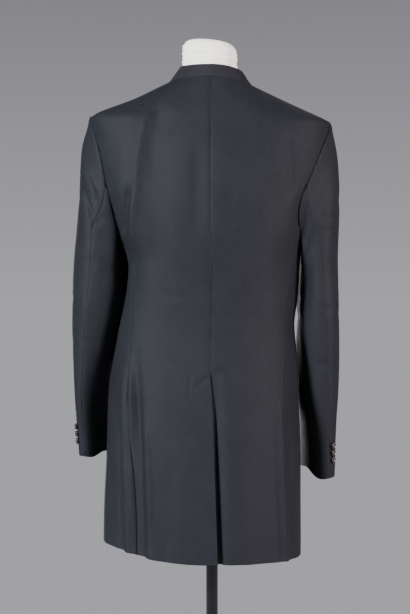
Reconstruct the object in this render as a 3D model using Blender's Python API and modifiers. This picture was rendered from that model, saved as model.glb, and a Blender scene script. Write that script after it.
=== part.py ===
"""Long wool jacket with a stand collar and a back vent, worn by a limbless dress form on a pole stand.

Metres, +Z up. The origin is on the floor under the pole. The jacket faces -Y, so its back is at +Y,
and the wearer's left is +X. Every cloth piece is cut from one surface: rings round the body that are
named by their height at the centre back, with an angle that runs from the centre back (0) over the
wearer's left side (90 degrees) to the centre front (180).
"""
import math

import bmesh
import bpy
from mathutils import Vector

SIDES = {1: "left", -1: "right"}

# ---------------------------------------------------------------- driving sizes
WALL = 0.002                 # cloth with its interlining
COLLAR_WALL = 0.003          # stand collar, two layers
SEAM_TRIM = 0.00018          # each panel ends this short of the seam line
SLEEVE_TRIM = 0.00035        # the same on the sleeves, whose rows run aslant
SEAT = 0.0004                # clearance of a piece that lies on another
BUTTON_SEAT = 0.0005         # the same under a button
SLEEVE_SEAT = 0.0006         # clearance of the sleeve's edge, which laps the armhole
COLLAR_LIFT = 0.0012         # extra clearance of the collar where it leans in, at the front
CENTRE_X = 0.004             # the back seam hangs this far to the wearer's left of the pole

HEM = 0.620
VENT_TOP = 0.963
ARMHOLE_JOIN = 1.235         # side seams run out into the armhole here
UNDERARM_DIP = 0.040         # the armhole's lowest point under that
SHOULDER = 1.435             # ring that carries the shoulder points
NECKLINE = 1.518

LAP_DEPTH = 0.0034           # an under lap lies this far inside the panel over it
FRONT_LAP = 0.020            # each front runs this far past the centre front
VENT_LAP = 0.022             # under lap of the vent
VENT_ROLL = 0.011            # the under lap rolls this far inwards at the hem
VENT_STEP = 0.006            # the right panel dips under the left one this far above the vent
VENT_EDGE = 0.002            # the left panel runs this far past the seam at the top of the vent,
VENT_SPREAD = 0.012          # and this much further at the hem
LEFT_COLUMNS = (0.014, 0.030)            # columns of the left back next to the seam
LAP_COLUMNS = (0.004, 0.013, 0.026)      # of the right back: two on the lap, and where it has come up
LAP_SPREAD = 0.004           # its last two stand this much further out at the hem
FRONT_STEP = (0.003, 0.026)  # past the left front's edge the right front comes up between these
COLLAR_GAP = 0.0010          # half the opening between the collar's front ends

BUTTON_RADIUS = 0.0067       # cuff buttons, three that almost touch
BUTTON_PITCH = 0.0137
FRONT_BUTTON_RADIUS = 0.010
FRONT_BUTTON_TOP = 1.385
FRONT_BUTTON_PITCH = 0.092
FRONT_BUTTONS = 5

POLE_RADIUS = 0.011
FORM_BOTTOM = 0.770
FORM_TOP = 1.508
NECK_RADIUS = 0.051
NECK_DEPTH_RADIUS = 0.046
NECK_Y = 0.001
NECK_TOP = 1.592
NECK_SLANT = 0.10            # its top falls this steeply towards the wearer's right
BASE_RADIUS = 0.165
BASE_THICK = 0.011
NECK_ROUNDING = 0.014        # bevel of the neck's edges
PLATE_RADIUS = 0.032         # plate on the pole's top, under the form
PLATE_THICK = 0.006
HUB_RADIUS = 0.022           # hub of the base, which takes the pole
HUB_HEIGHT = 0.040
HUB_EDGE = 0.003             # chamfer of its rim
FOOT_WIDTH = 0.012           # fillet where the hub meets the base

# Rings of the jacket's outer surface. left and right: how far the ring reaches from the pole's axis,
# back and front: the same in Y, seam: the Y of the shoulder and side line, rise_...: how much higher
# than the centre back the ring lies there, power: 2 is an ellipse, more is squarer.
RING_COLUMNS = ("height", "left", "right", "back", "front", "seam",
                "rise_left", "rise_right", "rise_front", "power")
BODY_RINGS = (
    (0.620, 0.210, 0.171, 0.140, -0.145, 0.000, 0.031, 0.002, 0.006, 2.30),
    (0.700, 0.209, 0.171, 0.141, -0.144, 0.000, 0.020, 0.001, 0.004, 2.30),
    (0.800, 0.204, 0.171, 0.138, -0.142, 0.000, 0.008, 0.000, 0.000, 2.30),
    (0.930, 0.199, 0.166, 0.130, -0.138, 0.000, 0.000, 0.000, 0.000, 2.30),
    (1.006, 0.186, 0.1625, 0.120, -0.134, 0.000, 0.000, 0.000, 0.000, 2.35),
    (1.058, 0.175, 0.157, 0.114, -0.132, 0.000, 0.000, 0.000, 0.000, 2.40),
    (1.120, 0.1615, 0.1605, 0.117, -0.138, 0.000, 0.000, 0.000, 0.000, 2.40),
    (1.183, 0.156, 0.163, 0.126, -0.146, 0.000, 0.000, 0.000, 0.000, 2.40),
    (1.215, 0.178, 0.174, 0.129, -0.147, 0.000, 0.000, -0.001, -0.003, 2.40),
    (1.250, 0.197, 0.188, 0.131, -0.146, -0.001, 0.000, -0.003, -0.008, 2.45),
    (1.300, 0.209, 0.202, 0.129, -0.138, -0.002, 0.001, -0.003, -0.018, 2.50),
    (1.350, 0.220, 0.214, 0.123, -0.126, -0.003, 0.004, -0.003, -0.030, 2.50),
    (1.400, 0.228, 0.222, 0.111, -0.109, -0.004, 0.010, 0.000, -0.044, 2.50),
    (1.435, 0.233, 0.2265, 0.099, -0.095, -0.005, 0.0160, 0.0035, -0.054, 2.50),
    (1.449, 0.200, 0.195, 0.094, -0.088, -0.005, 0.0140, 0.0028, -0.058, 2.50),
    (1.463, 0.173, 0.169, 0.089, -0.082, -0.005, 0.0092, 0.0002, -0.062, 2.45),
    (1.477, 0.147, 0.143, 0.083, -0.076, -0.005, 0.0052, -0.0020, -0.066, 2.40),
    (1.491, 0.124, 0.119, 0.077, -0.070, -0.005, 0.0027, -0.0045, -0.070, 2.30),
    (1.505, 0.102, 0.099, 0.071, -0.065, -0.005, -0.0005, -0.0088, -0.074, 2.20),
    (1.518, 0.084, 0.082, 0.065, -0.060, -0.005, -0.0055, -0.0150, -0.078, 2.10),
)

# Where each panel ends, as the sine of the ring's angle. Up to ARMHOLE_JOIN it is the seam to the side
# panel, above that the armhole, and from SHOULDER upwards the shoulder seam.
EDGE_COLUMNS = ("height", "back_left", "back_right", "front_left", "front_right")
PANEL_EDGES = (
    (0.620, 0.670, 0.786, 0.840, 0.840),
    (0.800, 0.700, 0.790, 0.840, 0.840),
    (0.930, 0.745, 0.810, 0.845, 0.845),
    (1.058, 0.848, 0.876, 0.870, 0.870),
    (1.120, 0.915, 0.892, 0.900, 0.900),
    (1.183, 0.955, 0.920, 0.935, 0.935),
    (1.235, 0.977, 0.915, 0.966, 0.966),
    (1.262, 0.948, 0.872, 0.918, 0.918),
    (1.300, 0.924, 0.850, 0.885, 0.885),
    (1.350, 0.928, 0.888, 0.880, 0.880),
    (1.385, 0.948, 0.930, 0.905, 0.905),
    (1.412, 0.974, 0.966, 0.950, 0.950),
    (1.435, 1.000, 1.000, 1.000, 1.000),
    (1.518, 1.000, 1.000, 1.000, 1.000),
)

# The largest folds of the back. A line through three places on it, X and Z, half its width, and how
# far it stands out (a trough is negative).
FOLD_COLUMNS = ("x_top", "z_top", "x_middle", "z_middle", "x_low", "z_low", "half_width", "relief")
FOLD_RUN_OUT = 0.15          # a fold dies out this share of its length past its ends,
FOLD_FADE = 0.40             # over this share, but runs on over the hem
FOLD_BACK = 0.02             # folds lie on the back only, from this Y
FOLDS = tuple(dict(zip(FOLD_COLUMNS, row)) for row in (
    (0.108, 1.450, 0.129, 1.370, 0.114, 1.200, 0.014, -0.0050),     # shoulder blade trough, left
    (0.150, 1.420, 0.160, 1.330, 0.146, 1.230, 0.014, 0.0035),      # ridge outside it
    (-0.140, 1.410, -0.143, 1.370, -0.140, 1.310, 0.012, -0.0040),  # short trough, right
    (-0.152, 1.340, -0.152, 1.200, -0.146, 1.080, 0.014, 0.0030),   # long ridge, right
    (0.156, 0.905, 0.150, 0.780, 0.142, 0.610, 0.014, -0.0085),     # skirt trough at the left seam
    (0.170, 0.900, 0.168, 0.780, 0.166, 0.610, 0.013, 0.0040),      # its outer ridge
    (0.128, 0.880, 0.122, 0.780, 0.118, 0.610, 0.014, 0.0040),      # its inner ridge
    (-0.124, 0.930, -0.129, 0.780, -0.134, 0.610, 0.014, 0.0055),   # skirt ridge, right
))

# Sleeve sections, by height: outer and inner reach from the axis, centre in Y, half depth, and how far
# the section turns its back edge outwards, in degrees.
SLEEVE_COLUMNS = ("height", "outer_left", "inner_left", "outer_right", "inner_right", "centre", "depth",
                  "turn_left", "turn_right")
SLEEVE_RINGS = (
    (0.755, 0.2520, 0.1950, 0.2350, 0.1710, -0.046, 0.060, 20, 16),
    (0.815, 0.2535, 0.1950, 0.2350, 0.1710, -0.042, 0.060, 20, 16),
    (0.870, 0.2570, 0.1960, 0.2365, 0.1690, -0.034, 0.061, 21, 15),
    (0.930, 0.2605, 0.1970, 0.2405, 0.1670, -0.024, 0.063, 19, 12),
    (1.006, 0.2640, 0.1860, 0.2420, 0.1650, -0.014, 0.065, 14, 8),
    (1.058, 0.2660, 0.1765, 0.2415, 0.1620, -0.009, 0.067, 11, 6),
    (1.120, 0.2650, 0.1640, 0.2400, 0.1650, -0.006, 0.069, 8, 3),
    (1.183, 0.2620, 0.1610, 0.2390, 0.1680, -0.004, 0.070, 4, 0),
    (1.240, 0.2575, 0.1720, 0.2415, 0.1720, -0.003, 0.070, 0, 0),
    (1.300, 0.2525, 0.1760, 0.2425, 0.1760, -0.004, 0.068, 0, 0),
    (1.350, 0.2505, 0.1800, 0.2410, 0.1800, -0.005, 0.062, 0, 0),
    (1.386, 0.2490, 0.1840, 0.2385, 0.1840, -0.005, 0.056, 0, 0),
    (1.413, 0.2450, 0.1880, 0.2355, 0.1880, -0.005, 0.050, 0, 0),
    (1.436, 0.2400, 0.1920, 0.2320, 0.1920, -0.005, 0.044, 0, 0),
    (1.460, 0.2360, 0.1960, 0.2290, 0.1960, -0.005, 0.040, 0, 0),
)
SLEEVE_POWER = 2.15
# The hind seam's angle on the sleeve's section, from its outer side (0) towards the back (90), by the
# share of the sleeve's length, and that of the front seam.
SEAM_COLUMNS = ("share", "left", "right")
HIND_SEAM = (
    (0.00, 86, 116),
    (0.14, 75, 114),
    (0.30, 81, 97),
    (0.45, 84, 85),
    (0.60, 87, 83),
    (0.75, 100, 84),
    (1.00, 104, 85),
)
FRONT_SEAM = -112
CUFF_HEIGHT = {1: 0.808, -1: 0.765}
CUFF_SLANT = {1: 0.004, -1: 0.018}      # the side towards the body ends this much higher
CUFF_BUTTON_TOP = {1: 0.862, -1: 0.826}
CUFF_BUTTON_COLUMN = {1: 2.4, -1: 1.0}  # grid columns in front of the hind seam
OUTER_CAP = 0.07                        # share of the sleeve over which its cap becomes a tube,
UNDER_CAP = 0.30                        # on the outer side and under the arm

COLLAR_TOP = {"left": 0.060, "right": 0.0595, "back": 0.055, "front": -0.052}
COLLAR_RISE = {"back": 0.0235, "side": 0.0300, "front": 0.0290}
COLLAR_X = 0.0008                       # its top edge stands this far to the wearer's left
COLLAR_POWER = 0.95                     # under 1 flattens that edge at the back and front
COLLAR_LEAN = 0.85                      # under 1 leans its foot in more than its top

# The dress form's rings, in the jacket's columns.
FORM_RINGS = (
    (0.770, 0.170, 0.146, 0.108, -0.112, 0.000, 0.000, 0.000, 0.000, 2.30),
    (0.860, 0.178, 0.150, 0.114, -0.120, 0.000, 0.000, 0.000, 0.000, 2.30),
    (0.950, 0.172, 0.146, 0.109, -0.120, 0.000, 0.000, 0.000, 0.000, 2.30),
    (1.058, 0.154, 0.138, 0.096, -0.114, 0.000, 0.000, 0.000, 0.000, 2.30),
    (1.120, 0.146, 0.142, 0.098, -0.121, 0.000, 0.000, 0.000, 0.000, 2.35),
    (1.183, 0.142, 0.146, 0.108, -0.129, 0.000, 0.000, 0.000, 0.000, 2.40),
    (1.235, 0.150, 0.149, 0.112, -0.130, 0.000, 0.000, 0.000, -0.004, 2.40),
    (1.290, 0.172, 0.168, 0.112, -0.122, -0.002, 0.000, 0.000, -0.014, 2.45),
    (1.350, 0.186, 0.181, 0.106, -0.110, -0.004, 0.002, 0.000, -0.028, 2.50),
    (1.410, 0.192, 0.187, 0.092, -0.092, -0.005, 0.016, 0.006, -0.046, 2.50),
    (1.437, 0.190, 0.185, 0.084, -0.082, -0.005, 0.0250, 0.0155, -0.056, 2.50),
    (1.455, 0.160, 0.155, 0.078, -0.069, -0.005, 0.0185, 0.0100, -0.061, 2.45),
    (1.470, 0.130, 0.126, 0.071, -0.061, -0.005, 0.0175, 0.0103, -0.065, 2.35),
    (1.484, 0.104, 0.101, 0.064, -0.053, -0.005, 0.0135, 0.0065, -0.066, 2.20),
    (1.494, 0.074, 0.070, 0.056, -0.046, -0.004, 0.0080, 0.0050, -0.052, 2.05),
    (1.502, 0.058, 0.052, 0.050, -0.044, -0.003, 0.0030, 0.0030, -0.030, 2.00),
    (1.508, 0.054, 0.048, 0.046, -0.044, -0.003, 0.0000, 0.0000, 0.0000, 2.00),
)

# ---------------------------------------------------------------- grid sizes
VENT_ROWS = 8                # hem to the top of the vent
WAIST_ROWS = 9               # from there to the armhole
ARM_ROWS = 9                 # along the armhole
ARM_SPACING = 1.3            # more than 1 crowds the rows towards the shoulder
YOKE_ROWS = 6                # shoulder point to neckline
BODY_COLUMNS = 9
SIDE_COLUMNS = 4
SLEEVE_ROWS = 25
SLEEVE_SPACING = 1.22        # more than 1 crowds the rows towards the armhole
COLLAR_COLUMNS = 40
COLLAR_ROWS = 3
FORM_COLUMNS = 32
HIND_ROW = 6                 # armhole row, from the shoulder down, where the hind seam starts
FRONT_ROW = 8                # the same for the front sleeve seam
NECK_SIDES = 32
BUTTON_SIDES = 16
POLE_SIDES = 24
BASE_SIDES = 48
FORM_STEP = 0.045            # rows of the form's torso
SHARP = math.radians(40)     # edges that turn more than this are shaded sharp

COLOURS = {                  # name: sRGB colour, roughness, metallic
    "wool_cloth": ((0.215, 0.235, 0.265), 0.85, 0.0),
    "horn": ((0.16, 0.12, 0.10), 0.35, 0.0),
    "form_fabric": ((0.86, 0.84, 0.81), 0.80, 0.0),
    "black_steel": ((0.05, 0.05, 0.055), 0.40, 0.8),
}


# ---------------------------------------------------------------- reading the tables
def read_column(rows, columns, name, value):
    """One column of a table at any value of its first column, on a curve that never overshoots."""
    index = columns.index(name)
    keys = [row[0] for row in rows]
    values = [row[index] for row in rows]
    value = min(max(value, keys[0]), keys[-1])
    cell = max(i for i in range(len(keys) - 1) if keys[i] <= value)
    slopes = [(values[i + 1] - values[i]) / (keys[i + 1] - keys[i]) for i in range(len(keys) - 1)]

    def tangent(i):
        if i == 0 or i == len(keys) - 1:
            return slopes[0] if i == 0 else slopes[-1]
        before, after = slopes[i - 1], slopes[i]
        return 0.0 if before * after <= 0 else 2 * before * after / (before + after)

    width = keys[cell + 1] - keys[cell]
    t = (value - keys[cell]) / width
    start = values[cell] * (1 + 2 * t) * (1 - t) ** 2 + tangent(cell) * width * t * (1 - t) ** 2
    end = values[cell + 1] * t * t * (3 - 2 * t) + tangent(cell + 1) * width * t * t * (t - 1)
    return start + end


def smooth_step(t):
    t = min(max(t, 0.0), 1.0)
    return t * t * (3 - 2 * t)


# ---------------------------------------------------------------- the surface
def ring_point(rows, height, angle):
    """Point at an angle on the ring of this height, on any table of rings."""
    def read(name):
        return read_column(rows, RING_COLUMNS, name, height)

    sine, cosine = math.sin(angle), math.cos(angle)
    side = "left" if sine >= 0 else "right"
    reach = read(side) - (CENTRE_X if side == "left" else -CENTRE_X)
    power = read("power")
    bulge = max(0.0, 1.0 - abs(sine) ** power) ** (1.0 / power)
    seam = read("seam")
    rise = read("rise_" + side) * sine * sine
    if cosine < 0:
        rise += read("rise_front") * cosine * cosine
    far = read("back") if cosine >= 0 else read("front")
    return Vector((CENTRE_X + reach * sine, seam + (far - seam) * bulge, height + rise))


def fold_relief(point):
    """How far the folds push the back's surface out at this place."""
    relief = 0.0
    for fold in FOLDS:
        x_top, z_top, x_middle, z_middle = (fold[name] for name in FOLD_COLUMNS[:4])
        x_low, z_low, half_width, height = (fold[name] for name in FOLD_COLUMNS[4:])
        t = (z_top - point.z) / (z_top - z_low)
        if -FOLD_RUN_OUT < t < 1 + FOLD_RUN_OUT and point.y > FOLD_BACK:
            middle = (z_top - z_middle) / (z_top - z_low)
            bow = (x_middle - (x_top + (x_low - x_top) * middle)) / (middle * (1 - middle))
            x = x_top + (x_low - x_top) * t + bow * t * (1 - t)
            fade = smooth_step((t + FOLD_RUN_OUT) / FOLD_FADE)
            if z_low > HEM:
                fade *= smooth_step((1 + FOLD_RUN_OUT - t) / FOLD_FADE)
            relief += height * fade * math.exp(-((point.x - x) / half_width) ** 2)
    return relief


def body_normal(height, angle):
    """Outward normal of the jacket's surface, from its two directions."""
    step = 0.004
    higher = min(height + step, NECKLINE)
    lower = max(higher - 2 * step, HEM)
    along = ring_point(BODY_RINGS, height, angle + step) - ring_point(BODY_RINGS, height, angle - step)
    up = ring_point(BODY_RINGS, higher, angle) - ring_point(BODY_RINGS, lower, angle)
    normal = up.cross(along)
    normal.normalize()
    return normal


def body_point(height, angle, inwards=0.0):
    """Point of the jacket's outer surface with its folds, or of a layer under it."""
    point = ring_point(BODY_RINGS, height, angle)
    return point + body_normal(height, angle) * (fold_relief(point) - inwards)


def reach_angle(height, x):
    """Angle at which a ring reaches this far from the centre line, to the left if positive."""
    side = "left" if x >= 0 else "right"
    reach = read_column(BODY_RINGS, RING_COLUMNS, side, height)
    reach += -CENTRE_X if side == "left" else CENTRE_X
    return math.asin(max(-1.0, min(1.0, x / reach)))


def edge_angle(height, panel, side):
    """Angle of a panel's outer edge: its side seam, armhole or shoulder seam."""
    name = panel + ("_left" if side > 0 else "_right")
    angle = math.asin(min(1.0, read_column(PANEL_EDGES, EDGE_COLUMNS, name, height)))
    if panel == "front":
        angle = math.pi - angle
    return side * angle


def spaced(start, end, count):
    return [start + (end - start) * i / count for i in range(count + 1)]


VENT_HEIGHTS = [VENT_TOP, VENT_TOP + VENT_STEP, VENT_TOP + 2.5 * VENT_STEP]
SKIRT_HEIGHTS = spaced(HEM, VENT_TOP, VENT_ROWS) + VENT_HEIGHTS[1:-1]
SKIRT_HEIGHTS += spaced(VENT_HEIGHTS[-1], ARMHOLE_JOIN, WAIST_ROWS)
ARM_HEIGHTS = [SHOULDER + (ARMHOLE_JOIN - SHOULDER) * t ** ARM_SPACING for t in spaced(1.0, 0.0, ARM_ROWS)]
UPPER_HEIGHTS = ARM_HEIGHTS[1:] + spaced(SHOULDER, NECKLINE, YOKE_ROWS)[1:]
ROW_HEIGHTS = SKIRT_HEIGHTS + UPPER_HEIGHTS


# ---------------------------------------------------------------- panels as grids of points
def vent_share(height):
    """0 above the vent, and 1 at the hem."""
    return min(1.0, max(0.0, (VENT_TOP - height) / (VENT_TOP - HEM)))


def back_near_columns(height, side):
    """The columns next to the centre back: X from the centre line, and depth under the surface."""
    share = vent_share(height)
    is_open = 1.0 if height <= VENT_TOP + 1e-6 else 0.0
    if side > 0:
        edge = -VENT_EDGE - VENT_SPREAD * share if share > 0 else 0.0
        return [(edge, 0.0)] + [(x, 0.0) for x in LEFT_COLUMNS]
    at_vent = 1.0 if height <= VENT_TOP + VENT_STEP + 1e-6 else 0.0
    depth = (LAP_DEPTH + VENT_ROLL * share) * at_vent
    first, second, surface = (-x for x in LAP_COLUMNS)
    spread = LAP_SPREAD * share
    return [(VENT_LAP * is_open, depth), (first, depth), (second - spread, depth), (surface - spread, 0.0)]


def front_near_columns(height, side):
    """The same at the centre front, where the wearer's left front closes over the right one."""
    if side > 0:
        return [(-FRONT_LAP, 0.0), (0.0, 0.0), (FRONT_LAP, 0.0)]
    under, surface = (-FRONT_LAP - step for step in FRONT_STEP)
    return [(FRONT_LAP, LAP_DEPTH), (under, LAP_DEPTH), (surface, 0.0)]


def panel_row(height, panel, side):
    """One row of a back or front panel, from the centre line to its outer edge."""
    near = back_near_columns(height, side) if panel == "back" else front_near_columns(height, side)
    points = []
    angle = 0.0
    for x, depth in near:
        angle = reach_angle(height, x)
        if panel == "front":
            angle = math.pi - angle
        elif side < 0 and x == 0.0:
            angle = 0.0
        points.append(body_point(height, angle, depth))
    if panel == "front" and side < 0:
        angle -= 2 * math.pi
    for step in spaced(angle, edge_angle(height, panel, side), BODY_COLUMNS - len(near) + 2)[1:]:
        points.append(body_point(height, step))
    return points


def side_row(row, side):
    """One row of a side panel, from the back seam to the front seam; the top row is the underarm."""
    height = SKIRT_HEIGHTS[row]
    start, end = edge_angle(height, "back", side), edge_angle(height, "front", side)
    points = []
    for i in range(SIDE_COLUMNS + 1):
        across = i / SIDE_COLUMNS
        top = ARMHOLE_JOIN - UNDERARM_DIP * (1 - (2 * across - 1) ** 2)
        level = HEM + (height - HEM) * (top - HEM) / (ARMHOLE_JOIN - HEM)
        points.append(body_point(level, start + (end - start) * across))
    return points


def panel_grid(panel, side):
    if panel == "side":
        return [side_row(row, side) for row in range(len(SKIRT_HEIGHTS))]
    return [panel_row(height, panel, side) for height in ROW_HEIGHTS]


def grid_normal(grid, row, column):
    """Mean normal of the cells round a point of a grid."""
    total = Vector()
    for i in (row - 1, row):
        for j in (column - 1, column):
            if 0 <= i < len(grid) - 1 and 0 <= j < len(grid[0]) - 1:
                total += (grid[i + 1][j + 1] - grid[i][j]).cross(grid[i + 1][j] - grid[i][j + 1]).normalized()
    return total.normalized()


def inward_step(grid, row, column):
    """Direction into the panel, square to its edge."""
    inner = 1 if column == 0 else len(grid[0]) - 2
    along = grid[min(row + 1, len(grid) - 1)][column] - grid[max(row - 1, 0)][column]
    inward = grid[row][inner] - grid[row][column]
    return (inward - along * (inward.dot(along) / along.length_squared)).normalized()


def draw_back(grid, rows, column, distances):
    """Moves a panel's edge inwards, by a distance for each row."""
    steps = [inward_step(grid, row, column) for row in rows]
    for row, step, distance in zip(rows, steps, distances):
        grid[row][column] = grid[row][column] + step * distance


def sew(first, first_column, second, second_column, rows, trim=SEAM_TRIM):
    """Draws two panels back from the seam they share, further where the walls meet at an angle."""
    pulls = []
    for row in rows:
        one = grid_normal(first, row, first_column % len(first[0]))
        other = grid_normal(second, row, second_column % len(second[0]))
        turn = min(one.angle(other), one.angle(-other))
        pulls.append(trim + WALL * math.tan(turn / 2))
    draw_back(first, rows, first_column % len(first[0]), pulls)
    draw_back(second, rows, second_column % len(second[0]), pulls)


# ---------------------------------------------------------------- sleeves
def armhole_loop(side):
    """Points round the armhole, from the shoulder down the back, under the arm and up the front."""
    heights = [h for h in ROW_HEIGHTS if ARMHOLE_JOIN - 1e-6 <= h <= SHOULDER + 1e-6]
    lift = WALL + SLEEVE_SEAT

    def edge(height, panel):
        angle = edge_angle(height, panel, side)
        return body_point(height, angle, -lift)

    loop = [edge(h, "back") for h in reversed(heights)]
    start = edge_angle(ARMHOLE_JOIN, "back", side)
    end = edge_angle(ARMHOLE_JOIN, "front", side)
    for i in range(1, SIDE_COLUMNS):
        across = i / SIDE_COLUMNS
        level = ARMHOLE_JOIN - UNDERARM_DIP * (1 - (2 * across - 1) ** 2)
        loop.append(body_point(level, start + (end - start) * across, -lift))
    loop += [edge(h, "front") for h in heights[:-1]]
    return loop


def sleeve_section(height, angle, side):
    """Point of the sleeve's tube at a height, angle 0 outwards and 90 degrees to the back."""
    def read(name):
        return read_column(SLEEVE_RINGS, SLEEVE_COLUMNS, name, height)

    name = SIDES[side]
    outer, inner, depth = read("outer_" + name), read("inner_" + name), read("depth")
    turn = math.radians(read("turn_" + name))
    half = (outer - inner) / 2
    thick = math.sqrt(half * half - (depth * math.sin(turn)) ** 2) / math.cos(turn)
    cosine, sine = math.cos(angle), math.sin(angle)
    across = thick * math.copysign(abs(cosine) ** (2 / SLEEVE_POWER), cosine)
    along = depth * math.copysign(abs(sine) ** (2 / SLEEVE_POWER), sine)
    x = (outer + inner) / 2 + across * math.cos(turn) + along * math.sin(turn)
    return side * x, read("centre") - across * math.sin(turn) + along * math.cos(turn)


def sleeve_grid(side):
    """Rows from the armhole to the cuff, each once round from the shoulder over the back."""
    loop = armhole_loop(side)
    count = len(loop)
    hind, front = HIND_ROW, count - FRONT_ROW
    front_angle = math.radians(FRONT_SEAM)
    rows = []
    for row in range(SLEEVE_ROWS + 1):
        share = (row / SLEEVE_ROWS) ** SLEEVE_SPACING
        hind_angle = math.radians(read_column(HIND_SEAM, SEAM_COLUMNS, SIDES[side], share))
        points = []
        for i, start in enumerate(loop):
            if i <= hind:
                angle = hind_angle * i / hind
            elif i <= front:
                angle = hind_angle + (2 * math.pi + front_angle - hind_angle) * (i - hind) / (front - hind)
            else:
                angle = front_angle * (count - i) / (count - front)
            cuff = CUFF_HEIGHT[side] + CUFF_SLANT[side] * (1 - math.cos(angle)) / 2
            height = start.z + (cuff - start.z) * share
            x, y = sleeve_section(height, angle, side)
            under = (1 - math.cos(angle)) / 2
            blend = smooth_step(share / (OUTER_CAP + (UNDER_CAP - OUTER_CAP) * under ** 0.7))
            points.append(Vector((start.x + (x - start.x) * blend, start.y + (y - start.y) * blend, height)))
        rows.append(points)
    return rows, hind, front


def sleeve_panels(side):
    """The upper sleeve, from the hind seam over the shoulder to the front seam, and the under sleeve."""
    rows, hind, front = sleeve_grid(side)
    count = len(rows[0])
    upper = [[row[i % count] for i in range(hind, front - count - 1, -1)] for row in rows]
    under = [[row[i] for i in range(hind, front + 1)] for row in rows]
    return upper, under


# ---------------------------------------------------------------- collar
def collar_row(share):
    """The stand collar's row: 0 on the neckline, 1 at its top edge."""
    points = []
    end = math.pi - math.asin(COLLAR_GAP / read_column(BODY_RINGS, RING_COLUMNS, "left", NECKLINE))
    for angle in spaced(-end, end, COLLAR_COLUMNS):
        base = ring_point(BODY_RINGS, NECKLINE, angle)
        sine, cosine = math.sin(angle), math.cos(angle)
        base.z += SEAT + COLLAR_LIFT * max(0.0, -cosine)
        reach = COLLAR_TOP["left"] if sine >= 0 else COLLAR_TOP["right"]
        far = COLLAR_TOP["back"] if cosine >= 0 else COLLAR_TOP["front"]
        middle = COLLAR_RISE["back"] if cosine >= 0 else COLLAR_RISE["front"]
        rise = COLLAR_RISE["side"] + (middle - COLLAR_RISE["side"]) * cosine * cosine
        top = Vector((COLLAR_X + reach * sine, far * abs(cosine) ** COLLAR_POWER, base.z + rise))
        lean = share ** COLLAR_LEAN
        points.append(Vector((base.x + (top.x - base.x) * lean, base.y + (top.y - base.y) * lean,
                              base.z + (top.z - base.z) * share)))
    return points


# ---------------------------------------------------------------- objects
def clear_scene():
    for item in list(bpy.data.objects):
        bpy.data.objects.remove(item, do_unlink=True)


def material(name):
    found = bpy.data.materials.get(name)
    if found:
        return found
    colour, roughness, metallic = COLOURS[name]
    made = bpy.data.materials.new(name)
    made.use_nodes = True
    shader = made.node_tree.nodes["Principled BSDF"]
    shader.inputs["Base Color"].default_value = tuple(c ** 2.2 for c in colour) + (1.0,)
    shader.inputs["Roughness"].default_value = roughness
    shader.inputs["Metallic"].default_value = metallic
    return made


def add_object(name, mesh, collection, material_name):
    item = bpy.data.objects.new(name, mesh)
    collection.objects.link(item)
    mesh.materials.clear()
    own = material(material_name).copy()
    own.name = material_name + "_" + name
    mesh.materials.append(own)
    return item


def body_axis(height):
    """A point inside the body at this height."""
    return Vector((0.0, 0.0, height))


def sleeve_axis(side):
    """A function for the same inside a sleeve."""
    def axis(height):
        outer, y = sleeve_section(height, 0.0, side)
        inner, _ = sleeve_section(height, math.pi, side)
        return Vector(((outer + inner) / 2, y, height))
    return axis


def cloth_piece(name, grid, inside, collection, wall=WALL):
    """A wall of cloth: a grid laid on the points, its outer face out, thickened inwards."""
    rows, columns = len(grid), len(grid[0])
    work = bmesh.new()
    bmesh.ops.create_grid(work, x_segments=columns - 1, y_segments=rows - 1, size=1.0)
    work.verts.ensure_lookup_table()
    for index, vertex in enumerate(work.verts):
        vertex.co = grid[index // columns][index % columns]
    middle = grid[rows // 2][columns // 2]
    face = min(work.faces, key=lambda f: (f.calc_center_median() - middle).length)
    work.normal_update()
    if face.normal.dot(middle - inside(middle.z)) < 0:
        bmesh.ops.reverse_faces(work, faces=work.faces)
    mesh = bpy.data.meshes.new(name)
    work.to_mesh(mesh)
    work.free()
    mesh.shade_smooth()
    item = add_object(name, mesh, collection, "wool_cloth")
    solidify = item.modifiers.new("Wall", "SOLIDIFY")
    solidify.thickness = wall
    solidify.offset = -1.0
    return item


def ring_loft(name, rings, collection, material_name):
    """A closed solid through rings of equal count, flat at both ends."""
    work = bmesh.new()
    loops = []
    for ring in rings:
        made = bmesh.ops.create_circle(work, cap_ends=False, radius=1.0, segments=len(ring))
        for vertex, point in zip(made["verts"], ring):
            vertex.co = point
        loops.append(list({edge for vertex in made["verts"] for edge in vertex.link_edges}))
    for lower, upper in zip(loops, loops[1:]):
        bmesh.ops.bridge_loops(work, edges=lower + upper)
    bmesh.ops.contextual_create(work, geom=loops[0])
    bmesh.ops.contextual_create(work, geom=loops[-1])
    bmesh.ops.recalc_face_normals(work, faces=work.faces)
    mesh = bpy.data.meshes.new(name)
    work.to_mesh(mesh)
    work.free()
    mesh.shade_smooth()
    mesh.set_sharp_from_angle(angle=SHARP)
    return add_object(name, mesh, collection, material_name)


def turned(name, profile, sides, collection, material_name):
    """A turned piece: a profile of (radius, height) from its top on the axis to its bottom."""
    work = bmesh.new()
    points = [work.verts.new((radius, 0.0, height)) for radius, height in profile]
    edges = [work.edges.new(pair) for pair in zip(points, points[1:])]
    bmesh.ops.spin(work, geom=points + edges, cent=(0, 0, 0), axis=(0, 0, 1), angle=2 * math.pi, steps=sides)
    bmesh.ops.remove_doubles(work, verts=work.verts, dist=0.00002)
    bmesh.ops.recalc_face_normals(work, faces=work.faces)
    mesh = bpy.data.meshes.new(name)
    work.to_mesh(mesh)
    work.free()
    mesh.shade_smooth()
    mesh.set_sharp_from_angle(angle=SHARP)
    return add_object(name, mesh, collection, material_name)


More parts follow.
